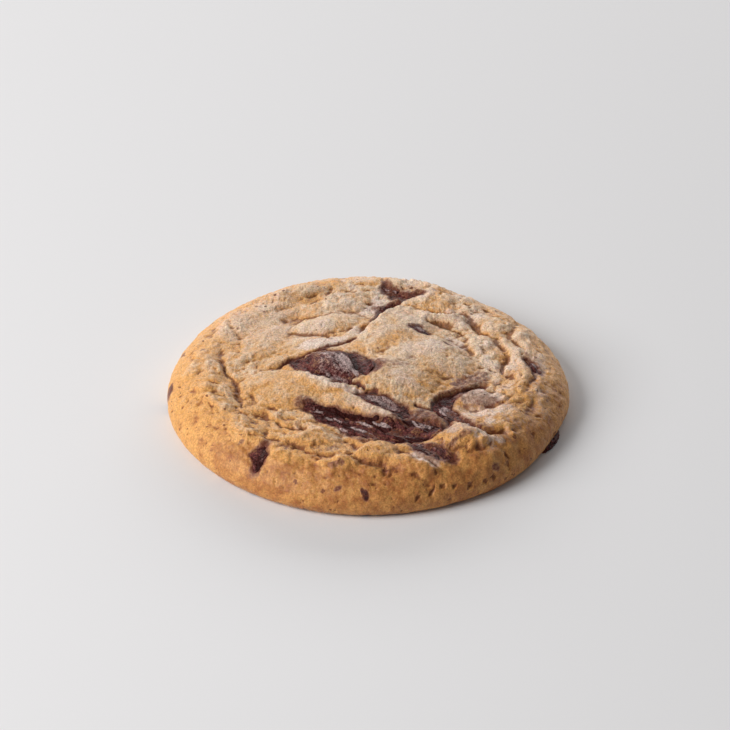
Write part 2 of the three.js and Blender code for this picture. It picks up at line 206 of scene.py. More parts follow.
POCKET_DEPTH = 0.6  # how far the dough gives way under a chunk, in mm
HIDDEN_EDGE = 1.4  # how far a chunk runs on under the dough, in mm
CHOCOLATE_CELL = 0.25  # size of a chunk's faces, in mm
UNDERSIDE_POINTS = 7  # across a chunk's rounded underside
CHUNK_STAND = 0.3  # how far a chunk's top stands over the dough round it, in mm
CHUNK_DIVE = 1.6  # how far its edge dives under the dough, in mm
SIDE_STEPS = 400  # points along each of the three parts of the side view
FOOT_DIRECTION = -21  # where the foot of chocolate lies round the rim, in degrees
FOOT_HALF = (6.2, 2.6, 2.0)  # its half sizes along the rim, outwards and up, in mm
FOOT_CELLS = (40, 96)  # its faces from top to bottom and round

# The stage, in metres: the floor, the lights' places and sizes, and the camera
FLOOR_HALF = 3
KEY_PLACE = (-1.0, -0.36, 0.72)
KEY_SIZE = (0.8, 0.8)
WINDOW_PLACE = (0.1, 1.4, 0.52)
WINDOW_SIZE = (2.2, 0.5)
FLOOR_COLOUR = "E7E7E8"
ROOM_COLOUR = "FCFDFF"
LAMP_COLOUR = "FFFDFC"
CAMERA_AIM = (-0.0011, 0.01824, 0)
CAMERA_DISTANCE = 0.85
CAMERA_ELEVATION = 33  # above the table, in degrees
CAMERA_LENS = 156.8  # in mm, as the width of its sensor
CAMERA_SENSOR = 36

# Melted chunks of chocolate, in mm: how far the top lies below the dough round it, how thick it is, the
# height of the strands on it and their direction in degrees, and the middle line, as points of
# (x, y, half width)
CHUNKS = {
    "chocolate_middle": (0.0, 4.0, 0.22, -58, (
        (-20, 1.4, 0.8), (-17, -0.3, 3.2), (-12, -1.8, 5.6), (-7, -3.2, 7.2), (-2.6, -4, 6.2),
        (0.2, -5, 3))),
    "chocolate_trough": (0.15, 4.0, 0.45, -27, (
        (-15.2, -19.6, 1.4), (-11, -22, 2.8), (-5, -26, 3.8), (1, -28.6, 4.2), (7, -30, 4),
        (13, -28.6, 4.6), (17.6, -28, 3))),
    "chocolate_band": (0.0, 3.0, 0.08, -32, (
        (-2, -16, 1), (2.6, -17.8, 2.6), (6.8, -20.2, 2.7), (9.8, -22.8, 1.5))),
    "chocolate_right": (0.3, 3.0, 0.3, -45, (
        (30, -8.8, 0.7), (25.5, -11.4, 1.1), (20.8, -15, 1.7), (19, -18.4, 2.2), (20.8, -22.2, 2),
        (23.4, -25.8, 1.9), (27.2, -28.6, 1))),
    "chocolate_front": (0.2, 3.5, 0.3, -62, (
        (11.4, -35.2, 1), (14.6, -37, 2.8), (18, -38.4, 2.8), (20.6, -39.4, 1.4))),
    "chocolate_back": (0.3, 3.5, 0.3, -20, (
        (4.6, 41.6, 0.8), (5.2, 38.6, 1.8), (7.5, 36, 2.4), (11, 35.4, 1.6), (14.6, 36, 0.8))),
    "chocolate_valley": (0.3, 3.0, 0.3, 50, (
        (7.5, 32, 0.8), (5, 29.5, 1.8), (3.6, 26.5, 1.4), (3, 24, 0.8))),
}
CHIPS = {
    "chip_front_left": (-0.2, 3.0, 0.12, 80, (
        (-25.9, -35.4, 1.0), (-26.9, -37.8, 2.5), (-27.8, -40.2, 1.4))),
    "chip_right_rim": (-0.2, 3.0, 0.12, -60, ((41.2, 3.4, 0.6), (43, 1, 1.3), (44.4, -1.8, 0.9))),
    "chip_upper_right": (-0.1, 3.0, 0.12, 0, ((11, 15.6, 0.6), (13.6, 15.4, 1.6), (15.8, 14.6, 1))),
}

# Crumb, fat and bloom that lie on the chocolate as a pale layer, and painted highlights on its ridges,
# strands and glossy
#  patches, in mm: x, y, half length, half width, direction in degrees, strength
FILMS_AND_HIGHLIGHTS = (
    (-9.5, -4, 7, 4.2, -58, 0.34),  # the mound in the middle, with a painted highlight along its ridge
    (-10.5, 1.6, 3.4, 1.6, -25, 0.7),
    (-4.7, -3.6, 7.2, 0.75, -62, 1.2),
    (-6.4, -3.2, 6.2, 1.9, -62, 0.6),
    (-8.4, -8.4, 4.5, 1.2, -30, 0.5),
    (1.6, -8.0, 1.6, 1.4, -70, 0.5),
    (-13.8, -20.6, 2.8, 1.3, -24, 0.45),
    (-2.0, -25.4, 4.2, 1.1, -32, 0.8),  # painted highlights on the strands in the trough
    (-5.8, -29.2, 2.4, 0.7, -32, 0.7),
    (3.6, -26.6, 3.6, 0.8, -26, 1.1),
    (-8.6, -24.4, 2.6, 0.5, -30, 0.9),
    (-1.4, -28.8, 3.6, 0.5, -24, 0.9),
    (8.6, -30.4, 3, 0.5, -12, 0.8),
    (12.6, -26.4, 2.6, 0.6, -50, 0.7),
    (15.5, -24.6, 4.5, 2.6, 78, 0.35),
    (3.6, -18, 6, 2.6, -32, 0.62),  # the band
    (20.4, -20.2, 2.8, 1.8, -40, 0.95),  # the grey patch in the crack on the right, a painted reflection
    (24.4, -25, 2.8, 0.5, -58, 0.7),
    (17.3, -35.8, 2.6, 1.5, -60, 0.3),
    (13.6, -35.2, 1.4, 1.2, 0, 0.4),
    (-26.2, -38.2, 2.2, 0.8, 80, 0.35),
    (14.6, 15.6, 1.8, 1.2, 0, 0.6),
    (43.6, 1.6, 1.8, 1.0, -60, 0.85),
    (6.5, 38, 2.5, 1.4, -40, 0.45),
)

# Smooth dark places on the chocolate, partly its own dark tone and partly painted shade on walls and slopes
# that face away from the lamps and in deep cracks, in mm, as the films above
DARKS_AND_SHADE = (
    (-2.6, -4.4, 5, 0.6, -60, 1.0),
    (-5.4, 3.4, 2.4, 1.2, -50, 0.9),
    (-18, 1.6, 1.6, 0.9, 30, 0.8),
    (-7.6, -22, 6.4, 1.5, -24, 0.8),
    (0, -24, 5, 1.2, -24, 0.9),
    (-5.6, -27, 2, 0.9, -32, 0.9),
    (10, -25, 1.2, 4, 80, 0.9),
    (11, -32, 5, 1.6, 0, 1.0),
    (15.8, -27, 1.4, 1.2, 0, 1.0),
    (24, -12.2, 6, 1.4, 32, 1.0),
    (19.6, -16.6, 2.4, 1.0, 0, 0.9),
    (21, -25, 1.6, 3.4, 0, 1.0),
    (26, -28.4, 1.8, 0.8, -30, 0.9),
    (13.6, -37, 2.4, 1.2, -60, 1.0),
    (16.6, -39.6, 3, 1.0, -20, 0.9),
    (-26.4, -38.6, 0.9, 3.4, -14, 0.6),
    (5.4, 28.6, 1.2, 4, -30, 0.8),
)

# Chocolate rubbed into the dough and chips too small to be pieces, in mm: x, y, half length, half width,
# direction in degrees, strength
STAINS = (
    (-18.5, 1.2, 3.4, 2.4, 30, 0.75),
    (-16, -2.6, 4.5, 3.2, -40, 0.6),
    (2.4, -3.2, 2.4, 3.6, 80, 0.6),
    (7.5, -4.2, 5, 2.6, 10, 0.36),
    (11.5, -0.6, 2.2, 1.4, 0, 0.34),
    (-16.4, -18.4, 3.6, 2.8, -50, 0.62),
    (-14.2, -18.4, 3.2, 1.3, -25, 1.15),
    (14, -25.5, 6, 6.4, -30, 0.7),
    (9.5, -24, 3.4, 4.5, 80, 0.8),
    (3.4, -18.6, 8, 3.6, -30, 0.4),
    (2, -32.6, 7, 2.0, -4, 0.55),
    # These rows make the lower right of the right slab darker brown towards the crack
    (28.8, -5.6, 5, 3.2, 60, 0.5),
    (24.4, -7.6, 2.4, 1.8, 30, 0.75),
    (26, -6.5, 6, 2.6, 40, 0.5),
    (22.5, -9, 1.1, 1.6, 80, 0.8),
    (20, -13.6, 4.5, 2.2, 32, 0.5),
    (22.6, -11.2, 6, 1.2, 34, 0.62),
    (32, -16.4, 3.0, 1.9, 30, 0.55),
    (28, -15.6, 5.2, 3.6, 0, 0.42),
    (20, -20.5, 3.4, 3, -50, 0.45),
    (28, -28.6, 3, 2.4, -20, 0.42),
    (21.4, -35.4, 1.6, 0.8, 40, 0.6),
    (24, -33.6, 3.4, 0.9, 38, 0.45),
    (23, -31, 4.5, 2.6, 20, 0.26),
    (15, -38.5, 6, 3.6, -24, 0.5),
    (11.5, -37, 2, 1.6, -30, 0.45),
    (3.4, 29.5, 2.6, 3.4, 60, 0.55),
    (1.6, 22, 1.0, 5, -12, 0.4),
    (8, 37.5, 4.5, 2.4, -10, 0.5),
    (12.5, 36.4, 4, 1.0, 4, 0.7),
    (12.2, 16.6, 2.6, 0.8, 12, 0.5),
    (21.5, 9, 1.7, 0.9, -30, 0.8),
    (41.5, 5.6, 1.6, 0.7, -60, 0.5),
    (-51.6, -2.5, 1.3, 2.6, 0, 0.85),
    (-48.5, 12, 1.5, 0.7, 70, 0.6),
    (-36, 33.6, 1.7, 0.8, 40, 0.7),
    (-43, 9, 0.9, 0.7, 0, 0.6),
    (-28, -3.2, 0.8, 0.8, 0, 0.5),
    (-7.2, -49.6, 1.4, 0.5, 14, 0.75),
    (-0.4, -50.2, 1.2, 1.1, -20, 1.4),
    (4.5, -45, 1.6, 0.7, 10, 0.7),
    (-9, -37.5, 2.6, 1.4, 20, 0.4),
    (-29.5, -43.7, 1.4, 0.9, -35, 0.8),
    (-32, -33, 1.1, 0.7, 0, 0.5),
    (32, -38.5, 1.4, 0.8, 30, 0.6),
)

# Pits in the side of the rim, painted dark as shade, in mm: the way round the rim from its right end,
# height, half length,
#  half width, direction in degrees, depth as a share
PITS = (
    (-41.0, 7.4, 0.6, 0.8, 0, 0.9),
    (-47.6, 4.9, 1.1, 0.5, -5, 1),
    (-49.9, 4.7, 0.75, 0.6, 20, 1),
    (-54.4, 4.9, 0.9, 0.5, -30, 1),
    (-58.8, 5.8, 0.85, 0.6, 30, 1),
    (-62.0, 6.4, 0.95, 0.65, -15, 0.9),
    (-62.9, 8.7, 0.6, 0.5, 0, 0.9),
    (-65.0, 5.7, 1.6, 0.42, 50, 0.9),
    (-68.9, 5.0, 0.9, 0.5, 10, 1),
    (-76.9, 9.8, 0.95, 0.5, 10, 0.9),
)
PIT_WOBBLE = 0.3  # how far a pit's outline strays, in mm

# Thin seams of chocolate along the cracks, in mm: half width, strength, and the points of each
SEAMS = (
    (0.55, 1.0, (-24.5, -2), (-22, 1), (-20, 2.8), (-17, 3.4), (-14, 4), (-12.3, 5.3), (-10.5, 4.4),
     (-7, 4.2)),
    (0.5, 0.85, (-12.6, 5.4), (-10, 6.6), (-7.3, 8), (-5, 9.4), (-3.4, 10.6)),
    (0.6, 1.0, (-8.8, -11.2), (-5, -10.6), (-3, -10.8), (-1, -12.4)),
    (0.9, 1.0, (-2.8, -16), (-1, -15), (1.4, -14.1)),
    (0.6, 0.9, (12.6, -18), (14, -19), (16.4, -20)),
    (1.0, 1.0, (29.4, -9.2), (24, -12), (20, -14.5), (17, -17), (17.3, -19.5)),
    (0.55, 1.0, (22.6, -20.6), (23.4, -23), (25, -26), (27, -28.8)),
    (1.0, 0.9, (17, -31), (13, -32.6), (8, -33)),
    (0.8, 0.9, (9, 33), (7.5, 32), (5, 29.5), (3.6, 26.5), (3, 24), (1.4, 20)),
    (0.7, 0.6, (-9, -44.4), (-6.5, -44)),
)

# Dough that stayed pale and dried out where fat came to the surface, partly painted sheen on slopes that
# lean away, in mm, as the stains above
PALES_AND_SHEEN = (
    (-12, 9, 9, 3.2, 14, 1.0),
    (-15, 15, 8, 4, 20, 0.6),
    (-3, 14, 3, 3.4, 40, 0.8),
    (1.6, 30, 3, 6, -24, 1.0),
    (-6, 27, 7, 8, 0, 0.4),
    (-30, 23, 18, 11, 44, 0.5),
    (-24, 17, 8, 5, 44, 0.55),
    (-26, 31, 12, 4, 40, 0.4),
    (-11, -10.6, 8, 2.2, -34, 0.9),
    (-3, -14.4, 5, 1.8, -15, 0.9),
    (0.5, -21.4, 9, 2.0, -31, 0.6),
    (14.4, -20.2, 2.4, 0.8, -35, 1.0),
    (29, -14.6, 6.5, 4, 0, 1.3),
    (30, -21, 9, 3.2, 4, 0.8),
    (23, 11, 6, 3.4, -55, 0.75),
    (13, 22, 11, 6, -20, 0.5),
    (15, 5, 9, 5, 20, 0.6),
    (4, 12, 5, 3.4, 50, 0.5),
    (9, -10, 6, 2.6, -20, 0.6),
    (20, -4, 5, 3, -40, 0.5),
    (30, 13, 5, 3.4, -45, 0.4),
    (40, 10, 3.6, 7, 0, 0.45),
    (44, -12, 4, 9, -10, 0.4),
    (14, -40.4, 6, 2.4, -24, 0.85),
    (28, -31.6, 7, 1.4, -6, 0.75),
    (23, -30.6, 5, 3, 10, 0.7),
    (-40, 6, 3, 7, -10, 0.35),
    (-35, -12, 3, 6, 30, 0.35),
    (-15.5, -28, 5, 1.8, -28, 0.4),
    (-6, -30, 3.5, 1.2, -30, 0.6),
    (32, 30, 9, 4, -45, 0.35),
)


def length_property(name, metres, description):
    """A length that a user can change, with its default in metres."""
    return FloatProperty(name=name, description=description, default=metres, unit="LENGTH")


class CookieShape(bpy.types.PropertyGroup):
    """The sizes of the whole cookie and of its crumb."""

    radius: length_property("Radius", 0.052, "Half of the mean width")
    rim_reach: length_property("Rim reach", 0.013, "How far in from the edge the rounded rim begins")
    rim_height: length_property("Rim height", 0.011, "Height at which the rim meets the dome")
    widest_height: length_property("Widest height", 0.0026, "The edge is widest this far up")
    foot_tuck: length_property("Foot tuck", 0.003, "How far the edge turns in below its widest place")
    dome_rise: length_property("Dome rise", 0.0038, "How much higher the middle is than the rim")
    wrinkle_height: length_property("Wrinkle height", 0.0004, "Height of the wrinkles round the rim")
    cobble_height: length_property("Cobble height", 0.00065, "Height of the cobbles inside the rim")
    crumb_height: length_property("Crumb height", 0.00028, "Height of the fine crumb")
    seed: IntProperty(name="Seed", description="Chooses the pattern of the crumb", default=7, min=0)


def linear(hex_colour):
    """An sRGB hex colour as linear red, green and blue."""
    parts = np.array([int(hex_colour[i : i + 2], 16) for i in (0, 2, 4)]) / 255
    return tuple(np.where(parts <= 0.04045, parts / 12.92, ((parts + 0.055) / 1.055) ** 2.4))


def colour_property(name, hex_colour, description):
    """A colour that a user can change, with its default as an sRGB hex value."""
    return FloatVectorProperty(
        name=name, description=description, subtype="COLOR", size=3, min=0, max=1, default=linear(hex_colour)
    )


class CookieColours(bpy.types.PropertyGroup):
    """The colours of the dough and the chocolate."""

    pale: colour_property("Pale dough", "E6C8A8", "Least baked dough")
    golden: colour_property("Golden dough", "DEA35C", "Evenly baked dough")
    # Also the colour towards which painted shade darkens the rim's front and right and the hollows
    browned_and_shaded: colour_property("Browned dough", "A66330", "Most baked dough")
    # Partly painted sheen: the pale colour towards which crests and slopes leaning away are lightened
    dry_and_sheen: colour_property("Dry dough", "ECD6C8", "Pale film where fat came to the surface")
    # Painted shade: the colour that pores, creases and hollows are darkened towards
    crevice_shade: colour_property("Crevice", "7A401A", "Dough deep in pores and cracks")
    stained: colour_property("Stained dough", "97684F", "Dough with a little chocolate rubbed into it")
    smear: colour_property("Smear", "6E331C", "Dough with much chocolate rubbed into it")
    chocolate: colour_property("Chocolate", "3A1512", "Dark chocolate")
    reddish: colour_property("Reddish chocolate", "663633", "Chocolate where it is thin or freshly broken")
    crumbed: colour_property("Crumbed chocolate", "8A6040", "Chocolate with crumb worked into it")
    # Partly painted highlight: also the pale colour of the highlights on the chocolate's ridges, strands and
    # glossy patches
    film_and_highlight: colour_property("Film", "BCA6A2", "Greyish film of crumb and fat on the chocolate")


def smoothstep(x, low, high):
    """0 below low, 1 above high, and a smooth rise between them."""
    t = np.clip((x - low) / (high - low), 0, 1)
    return t * t * (3 - 2 * t)


def fade(x, low, high):
    """1 below low, 0 above high, and a smooth fall between them."""
    return 1 - smoothstep(x, low, high)


def scatter(cell, seed):
    """A number from 0 to 1 for each lattice cell: its whole coordinates times large odd numbers, mixed by
    shifts, so that it looks random but is always the same."""
    i, j, k = (cell[..., n].astype(np.int64).astype(np.uint32) for n in range(3))
    h = i * np.uint32(0x9E3779B1) ^ j * np.uint32(0x85EBCA6B) ^ k * np.uint32(0xC2B2AE35)
    h = (h ^ np.uint32(seed * 7919 + 17)) * np.uint32(0x2C1B3C6D)
    h = (h ^ (h >> np.uint32(15))) * np.uint32(0x297A2D39)
    return (h ^ (h >> np.uint32(13))) / 2**32


def soft_noise(points, size, seed):
    """Smooth noise from -1 to 1: random values on a lattice of the given size, blended by a quintic
    curve."""
    at = points / size
    cell = np.floor(at)
    f = at - cell
    f = f**3 * (f * (f * 6 - 15) + 10)
    total = np.zeros(points.shape[:-1])
    for corner in np.ndindex(2, 2, 2):
        c = np.array(corner)
        weight = np.prod(np.where(c, f, 1 - f), axis=-1)
        total += weight * scatter(cell + c, seed)
    return total * 2 - 1


def cell_noise(points, size, seed):
    """Distances to the nearest and the second nearest of scattered points, one in each lattice cell, in
    cells, and a random number that belongs to the nearest one."""
    at = points / size
    cell = np.floor(at)
    first = np.full(points.shape[:-1], 9.0)
    second = first.copy()
    owner = np.zeros_like(first)
    for step in np.ndindex(3, 3, 3):
        c = cell + np.array(step) - 1
        spot = c + np.stack([scatter(c, seed + n) for n in range(3)], axis=-1)
        d = np.linalg.norm(spot - at, axis=-1)
        closer = d < first
        second = np.where(closer, first, np.minimum(second, d))
        owner = np.where(closer, scatter(c, seed + 5), owner)
        first = np.where(closer, d, first)
    return first, second, owner


def soft_shift(points, size, seed):
    """A smooth random shift of each point, from -1 to 1 in each direction."""
    return np.stack([soft_noise(points, size, seed + n) for n in range(3)], axis=-1)


def cobbles(points, size, crease, lowest, seed):
    """Cobbles, each with a random height from lowest to 1: 1 - exp(-(distance to the second nearest point
    less the nearest) / crease), so that neighbours meet in a sharp crease."""
    near, second, own = cell_noise(points, size, seed)
    return (1 - np.exp(-(second - near) / crease)) * (lowest + (1 - lowest) * own)


def holes(points, size, rarity, growth, power, seed):
    """Small holes from 0 to 1, in the lattice cells whose random number is over rarity: exp(-(distance /
    (0.08 + growth * number ^ power))^2)."""
    near, _, own = cell_noise(points, size, seed)
    return (own > rarity) * np.exp(-((near / (0.08 + growth * own**power)) ** 2))


def inside(x, y, mark):
    """How far inside an ellipse a place is: 1 at its middle, 0 on its outline and negative outside. The
    ellipse is given by its middle, half length, half width and direction."""
    cx, cy, long, wide, direction = mark[:5]
    c, s = math.cos(math.radians(direction)), math.sin(math.radians(direction))
    return 1 - (((x - cx) * c + (y - cy) * s) / long) ** 2 - (((y - cy) * c - (x - cx) * s) / wide) ** 2


def pillows(x, y, lumps):
    """Several pillows that swell into each other: each is height * inside ** fullness over an ellipse, and
    they join as log(1 + sum of (exp(sharpness * pillow) - 1)) / sharpness."""
    total = np.ones_like(x)
    for *mark, height in lumps:
        total += np.expm1(LUMP_JOIN * height * np.clip(inside(x, y, mark), 0, 1) ** LUMP_FULLNESS)
    return np.log(total) / LUMP_JOIN


def marks(x, y, table):
    """The strongest of several soft edged marks, each an ellipse with a strength."""
    strongest = np.zeros_like(x)
    for *mark, strength in table:
        strongest = np.maximum(strongest, strength * smoothstep(inside(x, y, mark), -0.25, 0.75))
    return strongest


def near_line(x, y, line):
    """Distance to a line through points, how far along it the nearest place is, counted in points, and
    the side: 1 on the line's left and -1 on its right."""
    nearest = np.full_like(x, 1e9)
    along = np.zeros_like(x)
    side = np.ones_like(x)
    for n, (a, b) in enumerate(zip(line, line[1:])):
        dx, dy = b[0] - a[0], b[1] - a[1]
        t = np.clip(((x - a[0]) * dx + (y - a[1]) * dy) / (dx * dx + dy * dy), 0, 1)
        d = np.hypot(x - a[0] - t * dx, y - a[1] - t * dy)
        closer = d < nearest - 1e-9
        along = np.where(closer, n + t, along)
        side = np.where(closer, np.where(dx * (y - a[1]) - dy * (x - a[0]) > 0, 1, -1), side)
        nearest = np.where(closer, d, nearest)
    return nearest, along, side


def grooves(x, y, cracks, vary):
    """The deepest of several cracks: each is depth * exp(-(distance / half width)^1.4), less a low lip that
    stands up on both sides. vary scales the depth from place to place."""
    deepest = np.zeros_like(x)
    for depth, half_width, *line in cracks:
        across = near_line(x, y, line)[0] / half_width
        groove = np.exp(-(across**1.4)) - 0.12 * np.exp(-((across - 2.4) ** 2))
        deepest = np.where(np.abs(groove * depth) > np.abs(deepest), groove * depth * vary, deepest)
    return deepest


def steps(x, y, ledges):
    """The sum of several ledges: across each line the height rises steeply to the left, and falls away
    again as height * exp(-distance / reach). On the right it dips a little. Both fade at the line's ends."""
    total = np.zeros_like(x)
    for height, reach, *line in ledges:
        distance, along, side = near_line(x, y, line)
        d = distance * side
        taper = np.sin(np.pi * np.clip(along / (len(line) - 1), 0.02, 0.98)) ** 0.6
        rise = smoothstep(d, -0.5, 0.5) * np.exp(-np.clip(d, 0, None) / reach)
        dip = 0.4 * fade(d, -0.5, 0.5) * np.exp(-((np.clip(d, None, 0) / 1.6) ** 2))
        total += height * taper * (rise - dip)
    return total


def on_plan(x, y):
    """Places of the plan as points in space at height 0, for noise."""
    return np.stack([x, y, np.zeros_like(x)], axis=-1)


def ragged(x, y, seed):
    """How far a torn edge strays from its smooth line, in mm."""
    flat = on_plan(x, y)
    return 0.85 * soft_noise(flat, 2.6, seed) + 0.22 * soft_noise(flat, 1.1, seed + 1)


def torn(x, y, amount, seed):
    """Places of the plan moved as far as a torn edge strays, times amount, so that marks get ragged
    edges."""
    return x + amount * ragged(x, y, seed), y + amount * ragged(x, y, seed + 2)


def chunk_seed(shape, number):
    """The seed of a chunk's ragged outline, which the dough and the chocolate share."""
    return shape.seed + 200 + 2 * number


def chunk_field(x, y, line, seed):
    """How far a place lies inside a chunk's ragged outline, in mm, negative outside: the half width there
    less the distance to the middle line."""
    d, along, _ = near_line(x, y, line)
    widths = np.array([p[2] for p in line])
    width = np.interp(along, np.arange(len(line)), widths)
    return width - d + ragged(x, y, seed) * np.minimum(1, width / 2.5)


def side_table(shape):
    """The side view from the middle of the top over the rim to the edge of the base, in mm: the share of its
    length (0 to 1), radius and height. Dome: rim height + rise * (1 - s^2)^2. Rim and foot: quarter
    ellipses."""
    radius, reach, tuck = (v / MM for v in (shape.radius, shape.rim_reach, shape.foot_tuck))
    rim, widest, rise = (v / MM for v in (shape.rim_height, shape.widest_height, shape.dome_rise))
    s = np.linspace(0, 1, SIDE_STEPS)
    turn = s * math.pi / 2
    inner = radius - reach
    r = np.concatenate([inner * s, inner + reach * np.sin(turn), radius - tuck + tuck * np.cos(turn)])
    z = np.concatenate([
        rim + rise * (1 - s * s) ** 2,
        widest + (rim - widest) * np.cos(turn),
        widest * (1 - np.sin(turn)),
    ])
    length = np.concatenate([[0], np.cumsum(np.hypot(np.diff(r), np.diff(z)))])
    return length / length[-1], r, z


def side_view(shape, ring):
    """Radius, height and the outward normal's two parts at shares of the side view's length."""
    length, r, z = side_table(shape)
    step = 2e-3
    radius, height = (np.interp(ring, length, v) for v in (r, z))
    after = [np.interp(np.clip(ring + step, 0, 1), length, v) for v in (r, z)]
    before = [np.interp(np.clip(ring - step, 0, 1), length, v) for v in (r, z)]
    dr, dz = after[0] - before[0], after[1] - before[1]
    size = np.hypot(dr, dz)
    return radius, height, -dz / size, dr / size


def outline_scale(shape, angle):
    """The share by which the outline stands out: 1 plus a few cosine waves round the edge, less a dent of
    depth * exp(narrowness * (cos(angle from its direction) - 1))."""
    waves = [h * np.cos(n * angle - math.radians(phase)) for n, h, phase in OUTLINE_WAVES]
    depth, direction, narrowness = OUTLINE_DENT
    dent = depth * np.exp(narrowness * (np.cos(angle - math.radians(direction)) - 1))
    return 1 + (sum(waves) - dent) / (shape.radius / MM)


def ring_at(shape, x, y):
    """The share of the side view's length at a place of the plan, on the top or the rim."""
    length, r, _ = side_table(shape)
    upper = slice(0, 2 * SIDE_STEPS)
    plain = np.hypot(x, y) / outline_scale(shape, np.arctan2(y, x))
    return np.interp(plain, r[upper], length[upper])


def plan_of(shape, ring, angle):
    """Places of the plan at shares of the side view's length and angles."""
    radius = side_view(shape, ring)[0] * outline_scale(shape, angle)
    return radius * np.cos(angle), radius * np.sin(angle)


def on_cookie(shape, ring, angle, push):
    """Points of the plain cookie moved out by push along its own outward direction, never below the
    table."""
    radius, height, out, up = side_view(shape, ring)
    reach = radius * outline_scale(shape, angle) + push * out
    return np.stack([
        OUTLINE_SHIFT[0] + reach * np.cos(angle),
        OUTLINE_SHIFT[1] + reach * np.sin(angle),
        np.maximum(height + push * up, 0),
    ], axis=-1)


def broad_relief(shape, x, y):
    """Slabs, lumps, ledges and cracks over the plan, which is shaken by noise so that no edge runs straight.
    The lumps stand half out of the plain dome."""
    flat = on_plan(x, y)
    seed = shape.seed
    shake = [
        1.0 * soft_noise(flat, 7, seed + n) + 0.5 * soft_noise(flat, 2.4, seed + 1 + n)
        + 0.22 * soft_noise(flat, 1.1, seed + 60 + n) for n in (0, 2)
    ]
    wx, wy = x + shake[0], y + shake[1]
    vary = 0.85 + 0.5 * soft_noise(flat, 4, seed + 4)
    relief = 0.9 * pillows(wx, wy, LUMPS) + steps(wx, wy, LEDGES)
    relief -= CRACK_SHARE * grooves(wx, wy, CRACKS, vary)
    relief -= LUMP_SINK * fade(np.hypot(x, y), *SINK_FADE)
    return relief * fade(ring_at(shape, x, y), *RELIEF_END)


def square_to_round(cells):
    """A square sheet's points on a round sheet, as rings from 0 to 1 and angles: squares round the middle
    become circles, so that the cells keep one size."""
    line = np.linspace(-1, 1, cells + 1)
    u, v = np.meshgrid(line, line, indexing="ij")
    wide = np.abs(u) > np.abs(v)
    ring = np.maximum(np.abs(u), np.abs(v))
    with np.errstate(divide="ignore", invalid="ignore"):
        turn = np.where(wide, v / u * 45, 90 - u / v * 45)
    turn = np.nan_to_num(turn) + np.where(np.where(wide, u, v) < 0, 180, 0)
    return ring, np.radians(turn)


def blurred(grid, width):
    """A grid blurred by a box of 2 * width + 1 cells each way, twice, by running sums."""
    for _ in range(2):
        for axis in (0, 1):
            padded = np.pad(grid, [(width + 1, width) if a == axis else (0, 0) for a in (0, 1)], mode="edge")
            total = np.cumsum(padded, axis=axis)
            span = 2 * width + 1
            count = total.shape[axis]
            high = np.take(total, range(span, count), axis)
            low = np.take(total, range(count - span), axis)
            grid = (high - low) / span
    return grid


def ring_quads(order):
    """Quads between neighbouring rows of point numbers, each row closed into a ring."""
    after = np.roll(order, -1, axis=1)
    return np.stack([order[:-1], order[1:], after[1:], after[:-1]], axis=-1).reshape(-1, 4)


def closed_tube(rows, columns):
    """Quads of a grid of points whose rows close into rings, and the triangles that join its first and last
    ring to the two pole points that come after the grid."""
    index = np.arange(rows * columns).reshape(rows, columns)
    after = np.roll(index, -1, axis=1)
    start, end = np.full(columns, index.size), np.full(columns, index.size + 1)
    triangles = np.concatenate([
        np.stack([start, index[0], after[0]], axis=-1),
        np.stack([after[-1], index[-1], end], axis=-1),
    ])
    return ring_quads(index), triangles


def put_mesh(name, points_mm, quads, triangles, values):
    """A smooth shaded mesh object from points in mm and faces, with four values for each point, kept as the
    colour attribute "look"."""
    mesh = bpy.data.meshes.new(name)
    faces = np.asarray(quads).reshape(-1, 4).tolist() + np.asarray(triangles, int).reshape(-1, 3).tolist()
    mesh.from_pydata((points_mm * MM).tolist(), [], faces)
    mesh.polygons.foreach_set("use_smooth", np.ones(len(mesh.polygons), bool))
    look = mesh.color_attributes.new("look", "FLOAT_COLOR", "POINT")
    look.data.foreach_set("color", values.astype(np.float32).ravel())
    mesh.update()
    piece = bpy.data.objects.new(name, mesh)
    bpy.context.scene.collection.objects.link(piece)
    return piece


def add(tree, kind, inputs=(), **settings):
    """Adds a node, sets its properties from settings, and sets or links each input that is given as a pair
    of its name or number and a value or another node's output."""
    node = tree.nodes.new(kind)
    for key, value in settings.items():
        setattr(node, key, value)
    for key, value in inputs:
        socket = node.inputs[key]
        if isinstance(value, bpy.types.NodeSocket):
            tree.links.new(value, socket)
        else:
            socket.default_value = value
    return node


def ramp(tree, value, low, high, start=0.0, end=1.0):
    """A smooth rise of value between low and high, from start to end."""
    return add(tree, "ShaderNodeMapRange", [
        ("Value", value), ("From Min", low), ("From Max", high), ("To Min", start), ("To Max", end),
    ], interpolation_type="SMOOTHSTEP").outputs[0]


def blend(tree, share, first, second):
    """The mix of two colours, each a socket or linear red, green and blue. The node's inputs 6 and 7 are
    the ones for colours, and so is its output 2."""
    pair = [c if isinstance(c, bpy.types.NodeSocket) else (*c, 1.0) for c in (first, second)]
    mix = add(tree, "ShaderNodeMix", [(0, share), (6, pair[0]), (7, pair[1])], data_type="RGBA")
    return mix.outputs[2]


def noise(tree, where, size_mm, detail=2.0, roughness=0.5):
    """Noise from 0 to 1 whose features are about size_mm across."""
    return add(
        tree, "ShaderNodeTexNoise",
        [("Vector", where), ("Scale", 1 / (size_mm * MM)), ("Detail", detail), ("Roughness", roughness)],
    ).outputs["Fac"]


def maths(tree, operation, first, second):
    """Two values joined by an operation."""
    return add(tree, "ShaderNodeMath", [(0, first), (1, second)], operation=operation).outputs[0]


